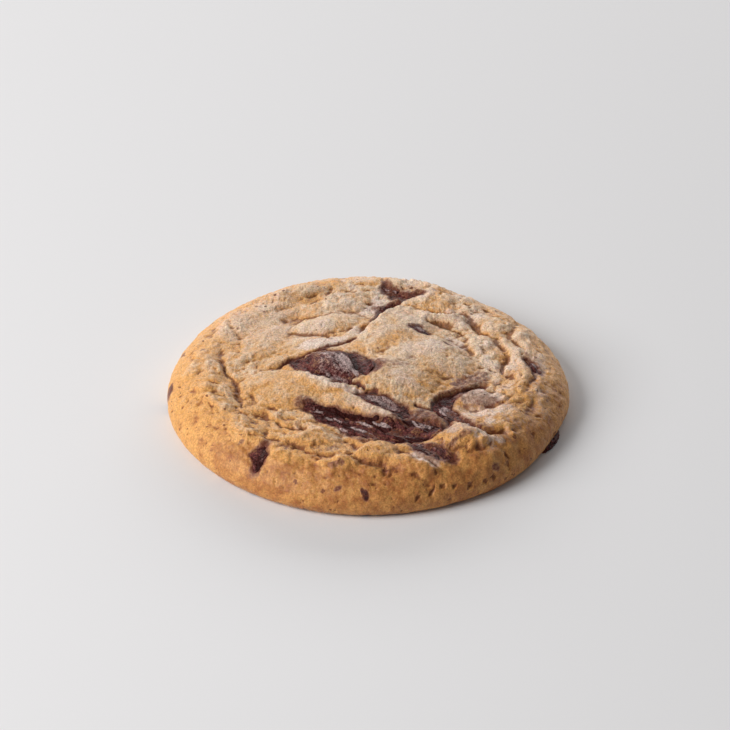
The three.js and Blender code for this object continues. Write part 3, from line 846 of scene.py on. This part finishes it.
def new_material(name, roughness, specular, sheen=0.0):
    """A material with a principled shader whose even values are set, and its Object coordinates."""
    material = bpy.data.materials.new(name)
    material.use_nodes = True
    tree = material.node_tree
    tree.nodes.clear()
    shader = add(tree, "ShaderNodeBsdfPrincipled", [
        ("Roughness", roughness), ("IOR", 1.45), ("Specular IOR Level", specular), ("Sheen Weight", sheen),
    ])
    add(tree, "ShaderNodeOutputMaterial", [("Surface", shader.outputs[0])])
    where = add(tree, "ShaderNodeTexCoord").outputs["Object"]
    return material, tree, shader, where


def bump(tree, shader, where_strong, heights):
    """Bumps the shader's surface by several patterns, each a height and a distance in mm, as strongly as
    where_strong says."""
    normal = ()
    for height, distance_mm in heights:
        layer = add(tree, "ShaderNodeBump", [
            ("Strength", where_strong), ("Distance", distance_mm * MM), ("Height", height), *normal,
        ])
        normal = [("Normal", layer.outputs[0])]
    tree.links.new(layer.outputs[0], shader.inputs["Normal"])


def uneven(tree, value, *patterns):
    """A value made uneven by patterns round 0.5, each with an amount: value + (pattern - 0.5) * amount."""
    for pattern, amount in patterns:
        shift = maths(tree, "MULTIPLY", maths(tree, "SUBTRACT", pattern, 0.5), amount)
        value = maths(tree, "ADD", value, shift)
    return value


def baked_dough(colours):
    """Soft baked cookie dough: matt, grainy and golden, paler and drier in the middle, partly as painted
    sheen, darker in its pores, creases and hollows and on the rim's front and right as painted shade, with
    chocolate rubbed into it. The grain scatters most of the light, and butter leaves a faint gloss that
    shows as a pale sheen on slopes that lean away, which painted sheen strengthens."""
    material, tree, shader, where = new_material("baked_dough", roughness=0.5, specular=0.4, sheen=0.08)
    shader.inputs["Subsurface Weight"].default_value = 0.25
    shader.inputs["Subsurface Radius"].default_value = (1.0, 0.5, 0.25)
    shader.inputs["Subsurface Scale"].default_value = 0.9 * MM
    attribute = add(tree, "ShaderNodeAttribute", attribute_name="look")
    parts = add(tree, "ShaderNodeSeparateColor", [(0, attribute.outputs["Color"])])
    browning_and_shade, cocoa, hollow = parts.outputs[:3]
    dry_and_sheen = attribute.outputs["Alpha"]
    sand = noise(tree, where, size_mm=0.45, detail=2, roughness=0.7)
    grain = noise(tree, where, size_mm=1.1, detail=3, roughness=0.65)
    patches = noise(tree, where, size_mm=3.2, detail=3)
    # The brown tone of the bake, which also carries painted shade in hollows and on the rim's front and
    # right, made uneven by patches and grain
    baked = uneven(tree, browning_and_shade, (patches, 0.75), (grain, 0.5), (sand, 0.25))
    colour = blend(tree, ramp(tree, baked, 0.1, 0.7), colours.pale, colours.golden)
    colour = blend(tree, ramp(tree, baked, 0.7, 1.25), colour, colours.browned_and_shaded)
    # The pale layer where fat came to the surface, which is partly painted sheen on crests and on slopes
    # that lean away
    film_and_highlight = uneven(tree, dry_and_sheen, (grain, 1.2), (patches, 0.6))
    colour = blend(tree, ramp(tree, film_and_highlight, 0.2, 1.0, end=0.8), colour, colours.dry_and_sheen)
    # Painted shade: creases, hollows, pores and pits darkened towards the crease colour, made uneven by
    # grain
    crease_shade = uneven(tree, hollow, (grain, 0.6), (sand, 0.6))
    colour = blend(tree, ramp(tree, crease_shade, 0.3, 1.0, end=0.8), colour, colours.crevice_shade)
    radius = radius_of(tree, where)
    # Painted shade in the pores
    colour = blend(tree, pore_shade(tree, where, radius, sand), colour, colours.crevice_shade)
    rubbed = uneven(tree, cocoa, (grain, 1.2), (sand, 0.7))
    colour = blend(tree, ramp(tree, rubbed, 0.1, 0.5, end=0.7), colour, colours.stained)
    colour = blend(tree, ramp(tree, rubbed, 0.4, 0.8, end=0.95), colour, colours.smear)
    colour = blend(tree, ramp(tree, rubbed, 0.8, 1.15), colour, colours.chocolate)
    tint = blend(tree, ramp(tree, sand, 0.3, 0.7), DARK_GRAIN, LIGHT_GRAIN)
    speckle = add(tree, "ShaderNodeVectorMath", [(0, colour), (1, tint)], operation="MULTIPLY")
    tree.links.new(speckle.outputs[0], shader.inputs["Base Color"])
    calmer_rim = ramp(tree, radius, 0.041, 0.047, start=1.0, end=0.35)
    bump(tree, shader, calmer_rim, ((grain, 0.6), (sand, 0.35)))
    return material


def radius_of(tree, where):
    """How far a place lies from the upright line through the cookie's middle, in metres."""
    flat = add(tree, "ShaderNodeVectorMath", [(0, where), (1, (1, 1, 0))], operation="MULTIPLY").outputs[0]
    return add(tree, "ShaderNodeVectorMath", [(0, flat)], operation="LENGTH").outputs["Value"]


def pore_shade(tree, where, radius, sand):
    """Painted shade in pores, as dark specks from 0 to 0.9, in Voronoi cells about 2.3 mm apart. Each cell's
    own random number less a rarity, which is lower towards the rim, sets how wide its pore is."""
    cells = add(tree, "ShaderNodeTexVoronoi", [("Vector", where), ("Scale", 1 / (2.3 * MM))])
    own = add(tree, "ShaderNodeSeparateColor", [(0, cells.outputs["Color"])]).outputs[0]
    rarity = ramp(tree, radius, 0.028, 0.043, start=0.76, end=0.5)
    reach = maths(tree, "MULTIPLY", maths(tree, "SUBTRACT", own, rarity), 0.46)
    past = uneven(tree, maths(tree, "SUBTRACT", cells.outputs["Distance"], reach), (sand, 0.5))
    return ramp(tree, past, -0.03, 0.06, start=0.9, end=0)


def melted_chocolate(colours):
    """Dark chocolate that melted and set again: nearly black brown, darkest where painted shade lies on
    walls and in cracks, reddish where it is thin or broken, with a soft gloss and painted highlights as pale
    streaks along its strands and on its ridges, and greyish where crumb and fat dulled it."""
    material, tree, shader, where = new_material("melted_chocolate", roughness=0.42, specular=0.11)
    look = add(tree, "ShaderNodeAttribute", attribute_name="look").outputs["Color"]
    dark, film_and_highlight, broken = add(tree, "ShaderNodeSeparateColor", [(0, look)]).outputs[:3]
    sand = noise(tree, where, size_mm=0.5, detail=2, roughness=0.7)
    grain = noise(tree, where, size_mm=1.2, detail=3, roughness=0.6)
    # The dark places, partly painted shade, take the reddish tone off
    thin = maths(tree, "SUBTRACT", uneven(tree, broken, (grain, 1.8), (sand, 1.8)), dark)
    colour = blend(tree, ramp(tree, thin, 0.1, 0.75), colours.chocolate, colours.reddish)
    colour = blend(tree, ramp(tree, thin, 0.85, 1.1, end=0.8), colour, colours.crumbed)
    # The pale layer of crumb, fat and bloom, with painted highlights
    dusty_and_highlight = uneven(tree, film_and_highlight, (grain, 1.2), (sand, 0.9))
    colour = blend(tree, ramp(tree, dusty_and_highlight, 0.2, 1.0, end=0.85), colour, colours.film_and_highlight)
    speckle = add(tree, "ShaderNodeVectorMath", [
        (0, colour), ("Scale", ramp(tree, sand, 0.32, 0.68, start=0.62, end=1.4)),
    ], operation="SCALE")
    tree.links.new(speckle.outputs[0], shader.inputs["Base Color"])
    tree.links.new(ramp(tree, dusty_and_highlight, 0.1, 0.9, start=0.34, end=0.5), shader.inputs["Roughness"])
    bump(tree, shader, 1.0, ((grain, 0.9), (sand, 0.25)))
    return material


def crumb_relief(shape, x, y, at, ring):
    """The relief that the baked surface has between its lumps, in mm: wrinkles and cobbles that run round
    inside the rim, finer cobbles everywhere, low swells, and crumb, which is finer on the rim."""
    seed = shape.seed
    cobble_height, wrinkle_height = shape.cobble_height / MM, shape.wrinkle_height / MM
    r = np.hypot(x, y)
    stretch = EVEN_WITHIN / np.maximum(r, EVEN_WITHIN)
    round_rim = np.stack([x * stretch, y * stretch, ring * SIDE_LENGTH], axis=-1)
    shaken = round_rim + 0.9 * soft_shift(at, 2.6, seed + 70)
    rough = smoothstep(r, *CRAG_RADII) * fade(ring, *CRAG_END)
    rough = np.clip(rough * (0.75 + 0.5 * soft_noise(at, 8, seed + 14)) + 0.25, 0, 1)
    rough *= 1 - CALM * marks(x, y, SMOOTH)
    big = cobbles(shaken, BIG_COBBLE, 0.16, 0.5, seed + 8)
    small = cobbles(shaken, SMALL_COBBLE, 0.2, 0.4, seed + 9)
    wrinkle = 1 - np.abs(soft_noise(round_rim, WRINKLE_SIZE, seed + 6)) / 0.5
    swell = sum(share * soft_noise(at, size, seed + n) for size, share, n in SWELLS)
    swell_share = 0.28 + 0.4 * smoothstep(x, -5, 8) + 0.4 * rough
    crags = cobble_height * (0.7 * big * rough + 0.75 * small * (0.2 + 0.8 * rough))
    crags += wrinkle_height * wrinkle * rough + SWELL_HEIGHT * swell_share * swell
    near, _, own = cell_noise(at, CRUMB_SIZE, seed + 12)
    grit = 1 - cell_noise(at, GRIT_SIZE, seed + 13)[0] ** 2
    crumb = shape.crumb_height / MM * ((1 - near**2) * (0.4 + own) + 0.5 * grit)
    crumb *= (1 - 0.6 * smoothstep(ring, *FINE_RIM)) * fade(ring, *BASE_EDGE)
    return crags * fade(ring, *CRAG_FADE) + crumb


def chunk_gaps(shape, x, y):
    """The pockets and seams that hold chocolate, as depths in mm, and the chocolate rubbed into the dough
    there and in the stains, from 0 to 1."""
    seed = shape.seed
    gaps = np.zeros_like(x)
    rubbed = marks(*torn(x, y, 0.6, seed + 32), STAINS)
    for number, (*_, line) in enumerate([*CHUNKS.values(), *CHIPS.values()]):
        field = chunk_field(x, y, line, chunk_seed(shape, number))
        gaps = np.maximum(gaps, POCKET_DEPTH * smoothstep(field, -1.0, 1.2))
        rubbed = np.maximum(rubbed, 0.85 * smoothstep(field, -1.5, 0.5))
    torn_x, torn_y = torn(x, y, 0.5, seed + 36)
    for half_width, strength, *line in SEAMS:
        seam = fade(near_line(torn_x, torn_y, line)[0], 0.5 * half_width, 1.7 * half_width)
        gaps = np.maximum(gaps, POCKET_DEPTH * strength**2 * seam)
        rubbed = np.maximum(rubbed, strength * seam)
    return gaps, rubbed


def pores_and_pits(shape, x, y, at, ring):
    """Small pores all over, and larger pits in the front and the right of the rim, each from 0 to 1. Noise
    moves their edges, so that none is quite round."""
    seed = shape.seed
    wobble = soft_shift(at, 0.9, seed + 50)
    pore = holes(at + 0.45 * wobble, PORE_SPACING, 0.45, 0.15, 3, seed + 18)
    pore *= 1 - CLEAR * marks(x, y, SMOOTH)
    pit = holes(at + 0.7 * wobble, PIT_SPACING, 0.6, 0.16, 1, seed + 27) * smoothstep(x - 1.4 * y, 25, 60)
    pit *= smoothstep(ring, *PIT_BEGIN) * fade(ring, *PIT_END)
    round_rim = shape.radius / MM * np.arctan2(y, x) + PIT_WOBBLE * wobble[..., 0]
    return pore, np.maximum(pit, marks(round_rim, at[..., 2] + PIT_WOBBLE * wobble[..., 1], PITS))


def browned_and_shaded(shape, x, y, at, ring, hollow, high):
    """How far the dough is baked brown, about 0 to 1, with painted shade: more towards the edge, where the
    paler middle is partly painted sheen, less to the back of the top, in soft clouds. Painted shade makes it
    darker on the front and the right of the rim, on the right of the top and in hollows, and painted
    highlight makes it paler on crests."""
    rim = smoothstep(ring, *RIM_TURN)
    clouds = 0.12 * soft_noise(at, 9, shape.seed + 20) + 0.13 * soft_noise(at, 3.5, shape.seed + 21)
    outwards = 0.14 * smoothstep(np.hypot(x, y), 28, 48)
    backwards = 0.2 * (0.5 * x + 0.87 * y) / 50
    # Painted shade: front_rim, right_rim and right_top darken the front and the right of the rim and the
    # right of the top, which face away from the key light
    front_rim = 0.5 * np.clip((0.65 * x - 1.6 * y) / 80, 0, 1.5)
    back_rim = 0.2 * np.clip((y + 0.6 * x) / 45, 0, 1)
    right_rim = 0.5 * smoothstep(x - y, 62, 71)
    right_top = 0.3 * smoothstep(x - y, 25, 55)
    # hollow adds painted shade in hollows, and high takes it off crests as painted highlight
    browning_and_shade = 0.44 + clouds * (1 - 0.65 * rim) + outwards - backwards + 0.35 * hollow - 0.25 * high
    return browning_and_shade + rim * (front_rim + back_rim + right_rim) + (1 - rim) * right_top


def dried_and_sheen(shape, x, y, at, ring, high):
    """How pale and dried out the dough is, from 0 to 1, with painted sheen: in the pale places, which are
    partly painted sheen, in mottled clouds between the top and the rim, most to the right, and a little on
    crests as painted highlight."""
    mottled = soft_noise(at, 5, shape.seed + 24) + 0.7 * soft_noise(at, 2.2, shape.seed + 25)
    mottled = np.clip(0.3 + 0.5 * mottled, 0, 0.7) * smoothstep(x + 0.4 * y, -30, 20)
    mottled *= smoothstep(np.hypot(x, y), *DRY_RADII) * fade(ring, *DRY_END)
    # Painted highlight: crests made paler
    crests = 0.3 * high * fade(ring, *CREST_END)
    return np.maximum(marks(*torn(x, y, 1, shape.seed + 40), PALES_AND_SHEEN), np.maximum(mottled, crests))


class COOKIE_OT_dough(bpy.types.Operator):
    """Makes the dough: a round sheet pushed out by lumps, cracks, wrinkles and crumb, closed by a base"""

    bl_idname = "cookie.dough"
    bl_label = "Dough"

    cells: IntProperty(name="Cells", description="Cells along the sheet's side", default=300, min=20)

    def execute(self, context):
        shape = context.scene.cookie_shape
        ring, angle = square_to_round(self.cells)
        x, y = plan_of(shape, ring, angle)
        at = np.stack([x, y, side_view(shape, ring)[1]], axis=-1)

        gaps, rubbed = chunk_gaps(shape, x, y)
        crumb = crumb_relief(shape, x, y, at, ring) * (1 - 0.5 * smoothstep(gaps, 0.2, 0.8))
        pore, pit = pores_and_pits(shape, x, y, at, ring)
        push = broad_relief(shape, x, y) + crumb - gaps
        push -= PORE_DEPTH * pore * fade(ring, *BASE_EDGE) + PIT_DEPTH * pit

        # How hollow each place is, below its blurred neighbours and in pores and pits: the colour paints
        # shade there
        hollow = np.clip((blurred(push, 3) - push) * 2.2, 0, 1)
        hollow += 0.6 * np.clip(blurred(push, 10) - push, 0, 1)
        hollow = np.clip(hollow + 0.8 * pore + 1.1 * pit - 0.1, 0, 1)
        # How far each place stands over its neighbours: the colour makes these crests paler as painted
        # highlight
        high = np.clip((push - blurred(push, 6)) * 1.2, 0, 1)
        browning_and_shade = browned_and_shaded(shape, x, y, at, ring, hollow, high)
        dry_and_sheen = dried_and_sheen(shape, x, y, at, ring, high)
        look = np.clip(np.stack([browning_and_shade, rubbed, hollow, dry_and_sheen], axis=-1), 0, 1).reshape(-1, 4)

        points = on_cookie(shape, ring, angle, push).reshape(-1, 3)
        points[ring.ravel() == 1, 2] = 0
        index = np.arange(ring.size).reshape(ring.shape)
        quads = np.stack([index[:-1, :-1], index[1:, :-1], index[1:, 1:], index[:-1, 1:]], axis=-1)
        edge = np.concatenate([index[:-1, 0], index[-1, :-1], index[:0:-1, -1], index[0, :0:-1]])
        under, under_look, under_quads, triangles = self.underside(shape, points[edge], edge, ring.size)
        points = np.concatenate([points, under])
        look = np.concatenate([look, under_look])
        quads = np.concatenate([quads.reshape(-1, 4), under_quads])
        piece = put_mesh("dough_crumb", points, quads, triangles, look)
        piece.data.materials.append(baked_dough(context.scene.cookie_colours))
        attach(piece, "root")
        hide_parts("cookie_dough")
        return {"FINISHED"}

    def underside(self, shape, rim, edge, first):
        """Rings drawn in from the base's edge to its middle, a little hollow and uneven, never below the
        table, and a fan that closes them."""
        shares = np.array([0.985, 0.93, 0.8, 0.6, 0.4, 0.2])
        rings = rim[None, :, :] * shares[:, None, None]
        uneven_lift = 0.12 * np.abs(soft_noise(rings * [1, 1, 0], 5, shape.seed + 40))
        lift = 0.22 * (1 - shares**2)[:, None] + uneven_lift
        rings[..., 2] = lift * smoothstep(1 - shares, 0, 0.1)[:, None]
        middle = np.array([[rim[:, 0].mean(), rim[:, 1].mean(), 0.25]])
        points = np.concatenate([rings.reshape(-1, 3), middle])
        count = len(edge)
        order = np.concatenate([edge[None], first + np.arange(len(shares) * count).reshape(-1, count)])
        last = np.full(count, first + len(shares) * count)
        triangles = np.stack([order[-1], last, np.roll(order[-1], -1)], axis=-1)
        # An even look for the base: baked brown, with a little painted crease shade
        look = np.tile([0.8, 0.0, 0.15, 0.0], (len(points), 1))
        return points, look, ring_quads(order), triangles


def rounded(share):
    """The height of a quarter circle, 0 to 1, over shares from 0 to 1, and 1 after it."""
    return np.sqrt(1 - (1 - np.clip(share, 0, 1)) ** 2)


def chunk_grid(line):
    """Rows of places across a chunk's middle line, as x, y, how far down the rounded underside each lies
    from 0 to 1, and the rows' half widths. The line runs on under the dough, and its ends are rounded."""
    knots = np.array(line, float)
    ends = []
    for end, before in ((0, 1), (-1, -2)):
        way = knots[end, :2] - knots[before, :2]
        ends.append([*(knots[end, :2] + way / np.hypot(*way) * HIDDEN_EDGE), 0])
    knots = np.array([ends[0], *knots, ends[1]])
    knots[:, 2] += HIDDEN_EDGE
    spacing = np.concatenate([[0], np.cumsum(np.hypot(*np.diff(knots[:, :2], axis=0).T))])
    s = np.linspace(0, spacing[-1], int(spacing[-1] / CHOCOLATE_CELL))
    path_x, path_y, width = (smooth_curve(s, spacing, knots[:, n]) for n in range(3))
    width = width * rounded(s / knots[0, 2]) * rounded((s[-1] - s) / knots[-1, 2])
    ahead_x, ahead_y = np.gradient(path_x), np.gradient(path_y)
    reach = width / np.hypot(ahead_x, ahead_y)
    top = np.linspace(1, -1, int(2 * knots[:, 2].max() / CHOCOLATE_CELL))
    under = np.linspace(math.pi, 2 * math.pi, UNDERSIDE_POINTS + 2)[1:-1]
    across = np.concatenate([top, np.cos(under)])
    down = np.concatenate([np.zeros_like(top), -np.sin(under)])
    x = path_x[:, None] - (ahead_y * reach)[:, None] * across
    y = path_y[:, None] + (ahead_x * reach)[:, None] * across
    return x, y, down, width


def strands_and_lumps(x, y, direction, seed):
    """Strands that run in a direction and bend a little, and lumps, each from about -1.5 to 1.5. Strands
    are noise on a lattice that is 5 mm long and 0.95 mm wide."""
    c, s = math.cos(math.radians(direction)), math.sin(math.radians(direction))
    flat = on_plan(x, y)
    bend = 1.2 * soft_noise(flat, 5, seed + 4)
    flow = on_plan((x * c + y * s) / 5, (y * c - x * s + bend) / 0.95)
    strand = soft_noise(flow, 1, seed) + 0.5 * soft_noise(flow * [1.5, 2.2, 1], 1, seed + 1)
    lump = soft_noise(flat, 2.6, seed + 2) + 0.5 * soft_noise(flat, 1.1, seed + 3)
    return strand, lump


def chocolate_piece(name, shape, material, form, number):
    """A long drop of chocolate round a middle line. Its top follows the dough, stands a little above it
    inside a ragged outline and dives under it outside, and carries strands. A rounded underside closes it,
    with a pole at each end."""
    sunk, depth, strands, direction, line = form
    seed = 100 + 10 * number
    x, y, down, width = chunk_grid(line)
    field = chunk_field(x, y, line, chunk_seed(shape, number))
    strand, lump = strands_and_lumps(x, y, direction, seed)
    stand = CHUNK_STAND * (1 - np.exp(-field / 0.5)) - sunk * smoothstep(field, 0, 1.5)
    lift = np.where(field > 0, stand, 1.1 * field)
    lift = np.maximum(lift + strands * (strand + 0.4 * lump) * smoothstep(field, -0.6, 0.6), -CHUNK_DIVE)
    push = broad_relief(shape, x, y) + lift - depth * down * np.minimum(1, width / 1.5)[:, None]
    points = on_cookie(shape, ring_at(shape, x, y), np.arctan2(y, x), push)
    torn_x, torn_y = torn(x, y, 0.5, seed + 6)
    # The pale layer of crumb and fat with painted highlights, brightest along the strands' ridges, and the
    # dark places, which are partly painted shade
    film_and_highlight = np.clip(marks(torn_x, torn_y, FILMS_AND_HIGHLIGHTS) * (1 + 3 * strands * strand), 0, 1)
    dark = marks(torn_x, torn_y, DARKS_AND_SHADE)
    broken = np.clip(0.5 + 0.5 * lump, 0, 1)
    look = np.stack([dark, film_and_highlight, broken, np.ones_like(x)], axis=-1)

    rows, columns = x.shape
    quads, triangles = closed_tube(rows - 2, columns)
    points = np.concatenate([points[1:-1].reshape(-1, 3), points[[0, -1], 0]])
    look = np.concatenate([look[1:-1].reshape(-1, 4), look[[0, -1], 0]])
    piece = put_mesh(name + "_melt", points, quads, triangles, look)
    piece.data.materials.append(material)
    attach(piece, "root")
    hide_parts(name)


def smooth_curve(s, knots, values):
    """A Catmull-Rom curve through values at uneven knots: cubic pieces whose slopes are the slopes between
    the neighbours on both sides."""
    slopes = np.gradient(values, knots)
    n = np.clip(np.searchsorted(knots, s, side="right") - 1, 0, len(knots) - 2)
    span = knots[n + 1] - knots[n]
    t = (s - knots[n]) / span
    return (
        values[n] * (2 * t**3 - 3 * t**2 + 1) + slopes[n] * span * (t**3 - 2 * t**2 + t)
        + values[n + 1] * (3 * t**2 - 2 * t**3) + slopes[n + 1] * span * (t**3 - t**2)
    )


class COOKIE_OT_chunks(bpy.types.Operator):
    """Makes the melted chunks of chocolate in the cracks"""

    bl_idname = "cookie.chunks"
    bl_label = "Melted chunks"

    def execute(self, context):
        scene = context.scene
        shape = scene.cookie_shape
        material = melted_chocolate(scene.cookie_colours)
        for number, (name, form) in enumerate(CHUNKS.items()):
            chocolate_piece(name, shape, material, form, number)
        return {"FINISHED"}


class COOKIE_OT_chips(bpy.types.Operator):
    """Makes the chips of chocolate in the top and the rim, and the foot of chocolate under the rim"""

    bl_idname = "cookie.chips"
    bl_label = "Chips"

    def execute(self, context):
        scene = context.scene
        shape = scene.cookie_shape
        material = bpy.data.materials["melted_chocolate"]
        for number, (name, form) in enumerate(CHIPS.items(), len(CHUNKS)):
            chocolate_piece(name, shape, material, form, number)
        self.foot(shape, material)
        return {"FINISHED"}

    def foot(self, shape, material):
        """A flattened ball over the middle of its solid, made uneven by noise, half size * direction *
        (1 + noise), and cut off flat at the table."""
        low, high = (np.array(v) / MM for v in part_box("chocolate_foot"))
        middle = (low + high) / 2
        rows, columns = FOOT_CELLS
        turn = np.linspace(0, 2 * math.pi, columns, endpoint=False)
        tilt = np.linspace(0, math.pi, rows + 1)[1:-1]
        tilt, turn = np.meshgrid(tilt, turn, indexing="ij")
        way = np.stack([np.sin(tilt) * np.cos(turn), np.sin(tilt) * np.sin(turn), np.cos(tilt)], axis=-1)
        way = np.concatenate([way.reshape(-1, 3), [[0, 0, 1], [0, 0, -1]]])
        bumps = 0.1 * np.abs(soft_noise(way * 3, 1, shape.seed + 90))
        bumps += 0.04 * soft_noise(way * 8, 1, shape.seed + 91)
        along, out, up = (way * FOOT_HALF * (1 - bumps)[:, None]).T
        turned = math.radians(FOOT_DIRECTION + 90)
        c, s = math.cos(turned), math.sin(turned)
        points = np.stack([
            middle[0] + along * c - out * s,
            middle[1] + along * s + out * c,
            np.maximum(up, 0),
        ], axis=-1)
        look = np.tile([0.1, 0.0, 0.5, 1.0], (len(points), 1))
        piece = put_mesh("chocolate_foot_melt", points, *closed_tube(rows - 1, columns), look)
        piece.data.materials.append(material)
        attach(piece, "root")
        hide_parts("chocolate_foot")


class COOKIE_OT_stage(bpy.types.Operator):
    """Makes the pale floor, the soft light and the camera"""

    bl_idname = "cookie.stage"
    bl_label = "Stage"

    key_power: FloatProperty(
        name="Key light", description="Power of the large light on the left", default=18.2, unit="POWER",
    )
    window_power: FloatProperty(
        name="Window", description="Power of the wide light behind", default=17.2, unit="POWER",
    )
    fill: FloatProperty(
        name="Fill light", description="Strength of the even light all round", default=0.155, min=0,
    )

    def execute(self, context):
        self.make_floor(context.scene)
        self.light_room(context.scene)
        self.set_camera(context.scene)
        context.scene.view_settings.view_transform = "Standard"
        return {"FINISHED"}

    def make_floor(self, scene):
        """A plain pale floor of paper, matt."""
        half = FLOOR_HALF
        mesh = bpy.data.meshes.new("floor")
        corners = [(-half, -half, 0), (half, -half, 0), (half, half, 0), (-half, half, 0)]
        mesh.from_pydata(corners, [], [(0, 1, 2, 3)])
        floor = bpy.data.objects.new("floor", mesh)
        scene.collection.objects.link(floor)
        material, _, shader, _ = new_material("floor_paper", roughness=0.9, specular=0.1)
        shader.inputs["Base Color"].default_value = (*linear(FLOOR_COLOUR), 1)
        mesh.materials.append(material)

    def light_room(self, scene):
        """An even light all round, a large light on the left and a wide one behind."""
        world = bpy.data.worlds.new("soft_room")
        world.use_nodes = True
        background = world.node_tree.nodes["Background"]
        background.inputs["Color"].default_value = (*linear(ROOM_COLOUR), 1)
        background.inputs["Strength"].default_value = self.fill
        scene.world = world
        for name, place, size, power in (
            ("key", KEY_PLACE, KEY_SIZE, self.key_power),
            ("window", WINDOW_PLACE, WINDOW_SIZE, self.window_power),
        ):
            light = bpy.data.lights.new(name, "AREA")
            light.shape = "RECTANGLE"
            light.size, light.size_y = size
            light.energy = power
            light.color = linear(LAMP_COLOUR)
            lamp = bpy.data.objects.new(name, light)
            lamp.location = place
            lamp.rotation_euler = (-Vector(place)).to_track_quat("-Z", "Y").to_euler()
            scene.collection.objects.link(lamp)

    def set_camera(self, scene):
        """A long lens from the front, looking down on the cookie."""
        elevation = math.radians(CAMERA_ELEVATION)
        away = Vector((0, -math.cos(elevation), math.sin(elevation)))
        data = bpy.data.cameras.new("camera")
        data.sensor_width = CAMERA_SENSOR
        data.lens = CAMERA_LENS
        data.clip_start = 0.05
        data.clip_end = 20
        camera = bpy.data.objects.new("camera", data)
        camera.location = Vector(CAMERA_AIM) + CAMERA_DISTANCE * away
        camera.rotation_euler = (math.pi / 2 - elevation, 0, 0)
        scene.collection.objects.link(camera)
        scene.camera = camera


class COOKIE_PT_panel(bpy.types.Panel):
    """Lists the cookie's pieces, its sizes and its colours"""

    bl_idname = "COOKIE_PT_panel"
    bl_label = "Chocolate chip cookie"
    bl_space_type = "VIEW_3D"
    bl_region_type = "UI"
    bl_category = "Cookie"

    def draw(self, context):
        for group in (context.scene.cookie_shape, context.scene.cookie_colours):
            box = self.layout.box()
            for name in group.__annotations__:
                box.prop(group, name)
        for operator in OPERATORS:
            self.layout.operator(operator.bl_idname)


OPERATORS = (COOKIE_OT_dough, COOKIE_OT_chunks, COOKIE_OT_chips, COOKIE_OT_stage)
CLASSES = (CookieShape, CookieColours, *OPERATORS, COOKIE_PT_panel)


def register():
    for cls in CLASSES:
        bpy.utils.register_class(cls)
    bpy.types.Scene.cookie_shape = PointerProperty(type=CookieShape)
    bpy.types.Scene.cookie_colours = PointerProperty(type=CookieColours)


def unregister():
    del bpy.types.Scene.cookie_colours
    del bpy.types.Scene.cookie_shape
    for cls in reversed(CLASSES):
        bpy.utils.unregister_class(cls)


def main():
    register()
    bpy.ops.cookie.dough()
    bpy.ops.cookie.chunks()
    bpy.ops.cookie.chips()
    bpy.ops.cookie.stage()


if __name__ == "__main__":
    main()
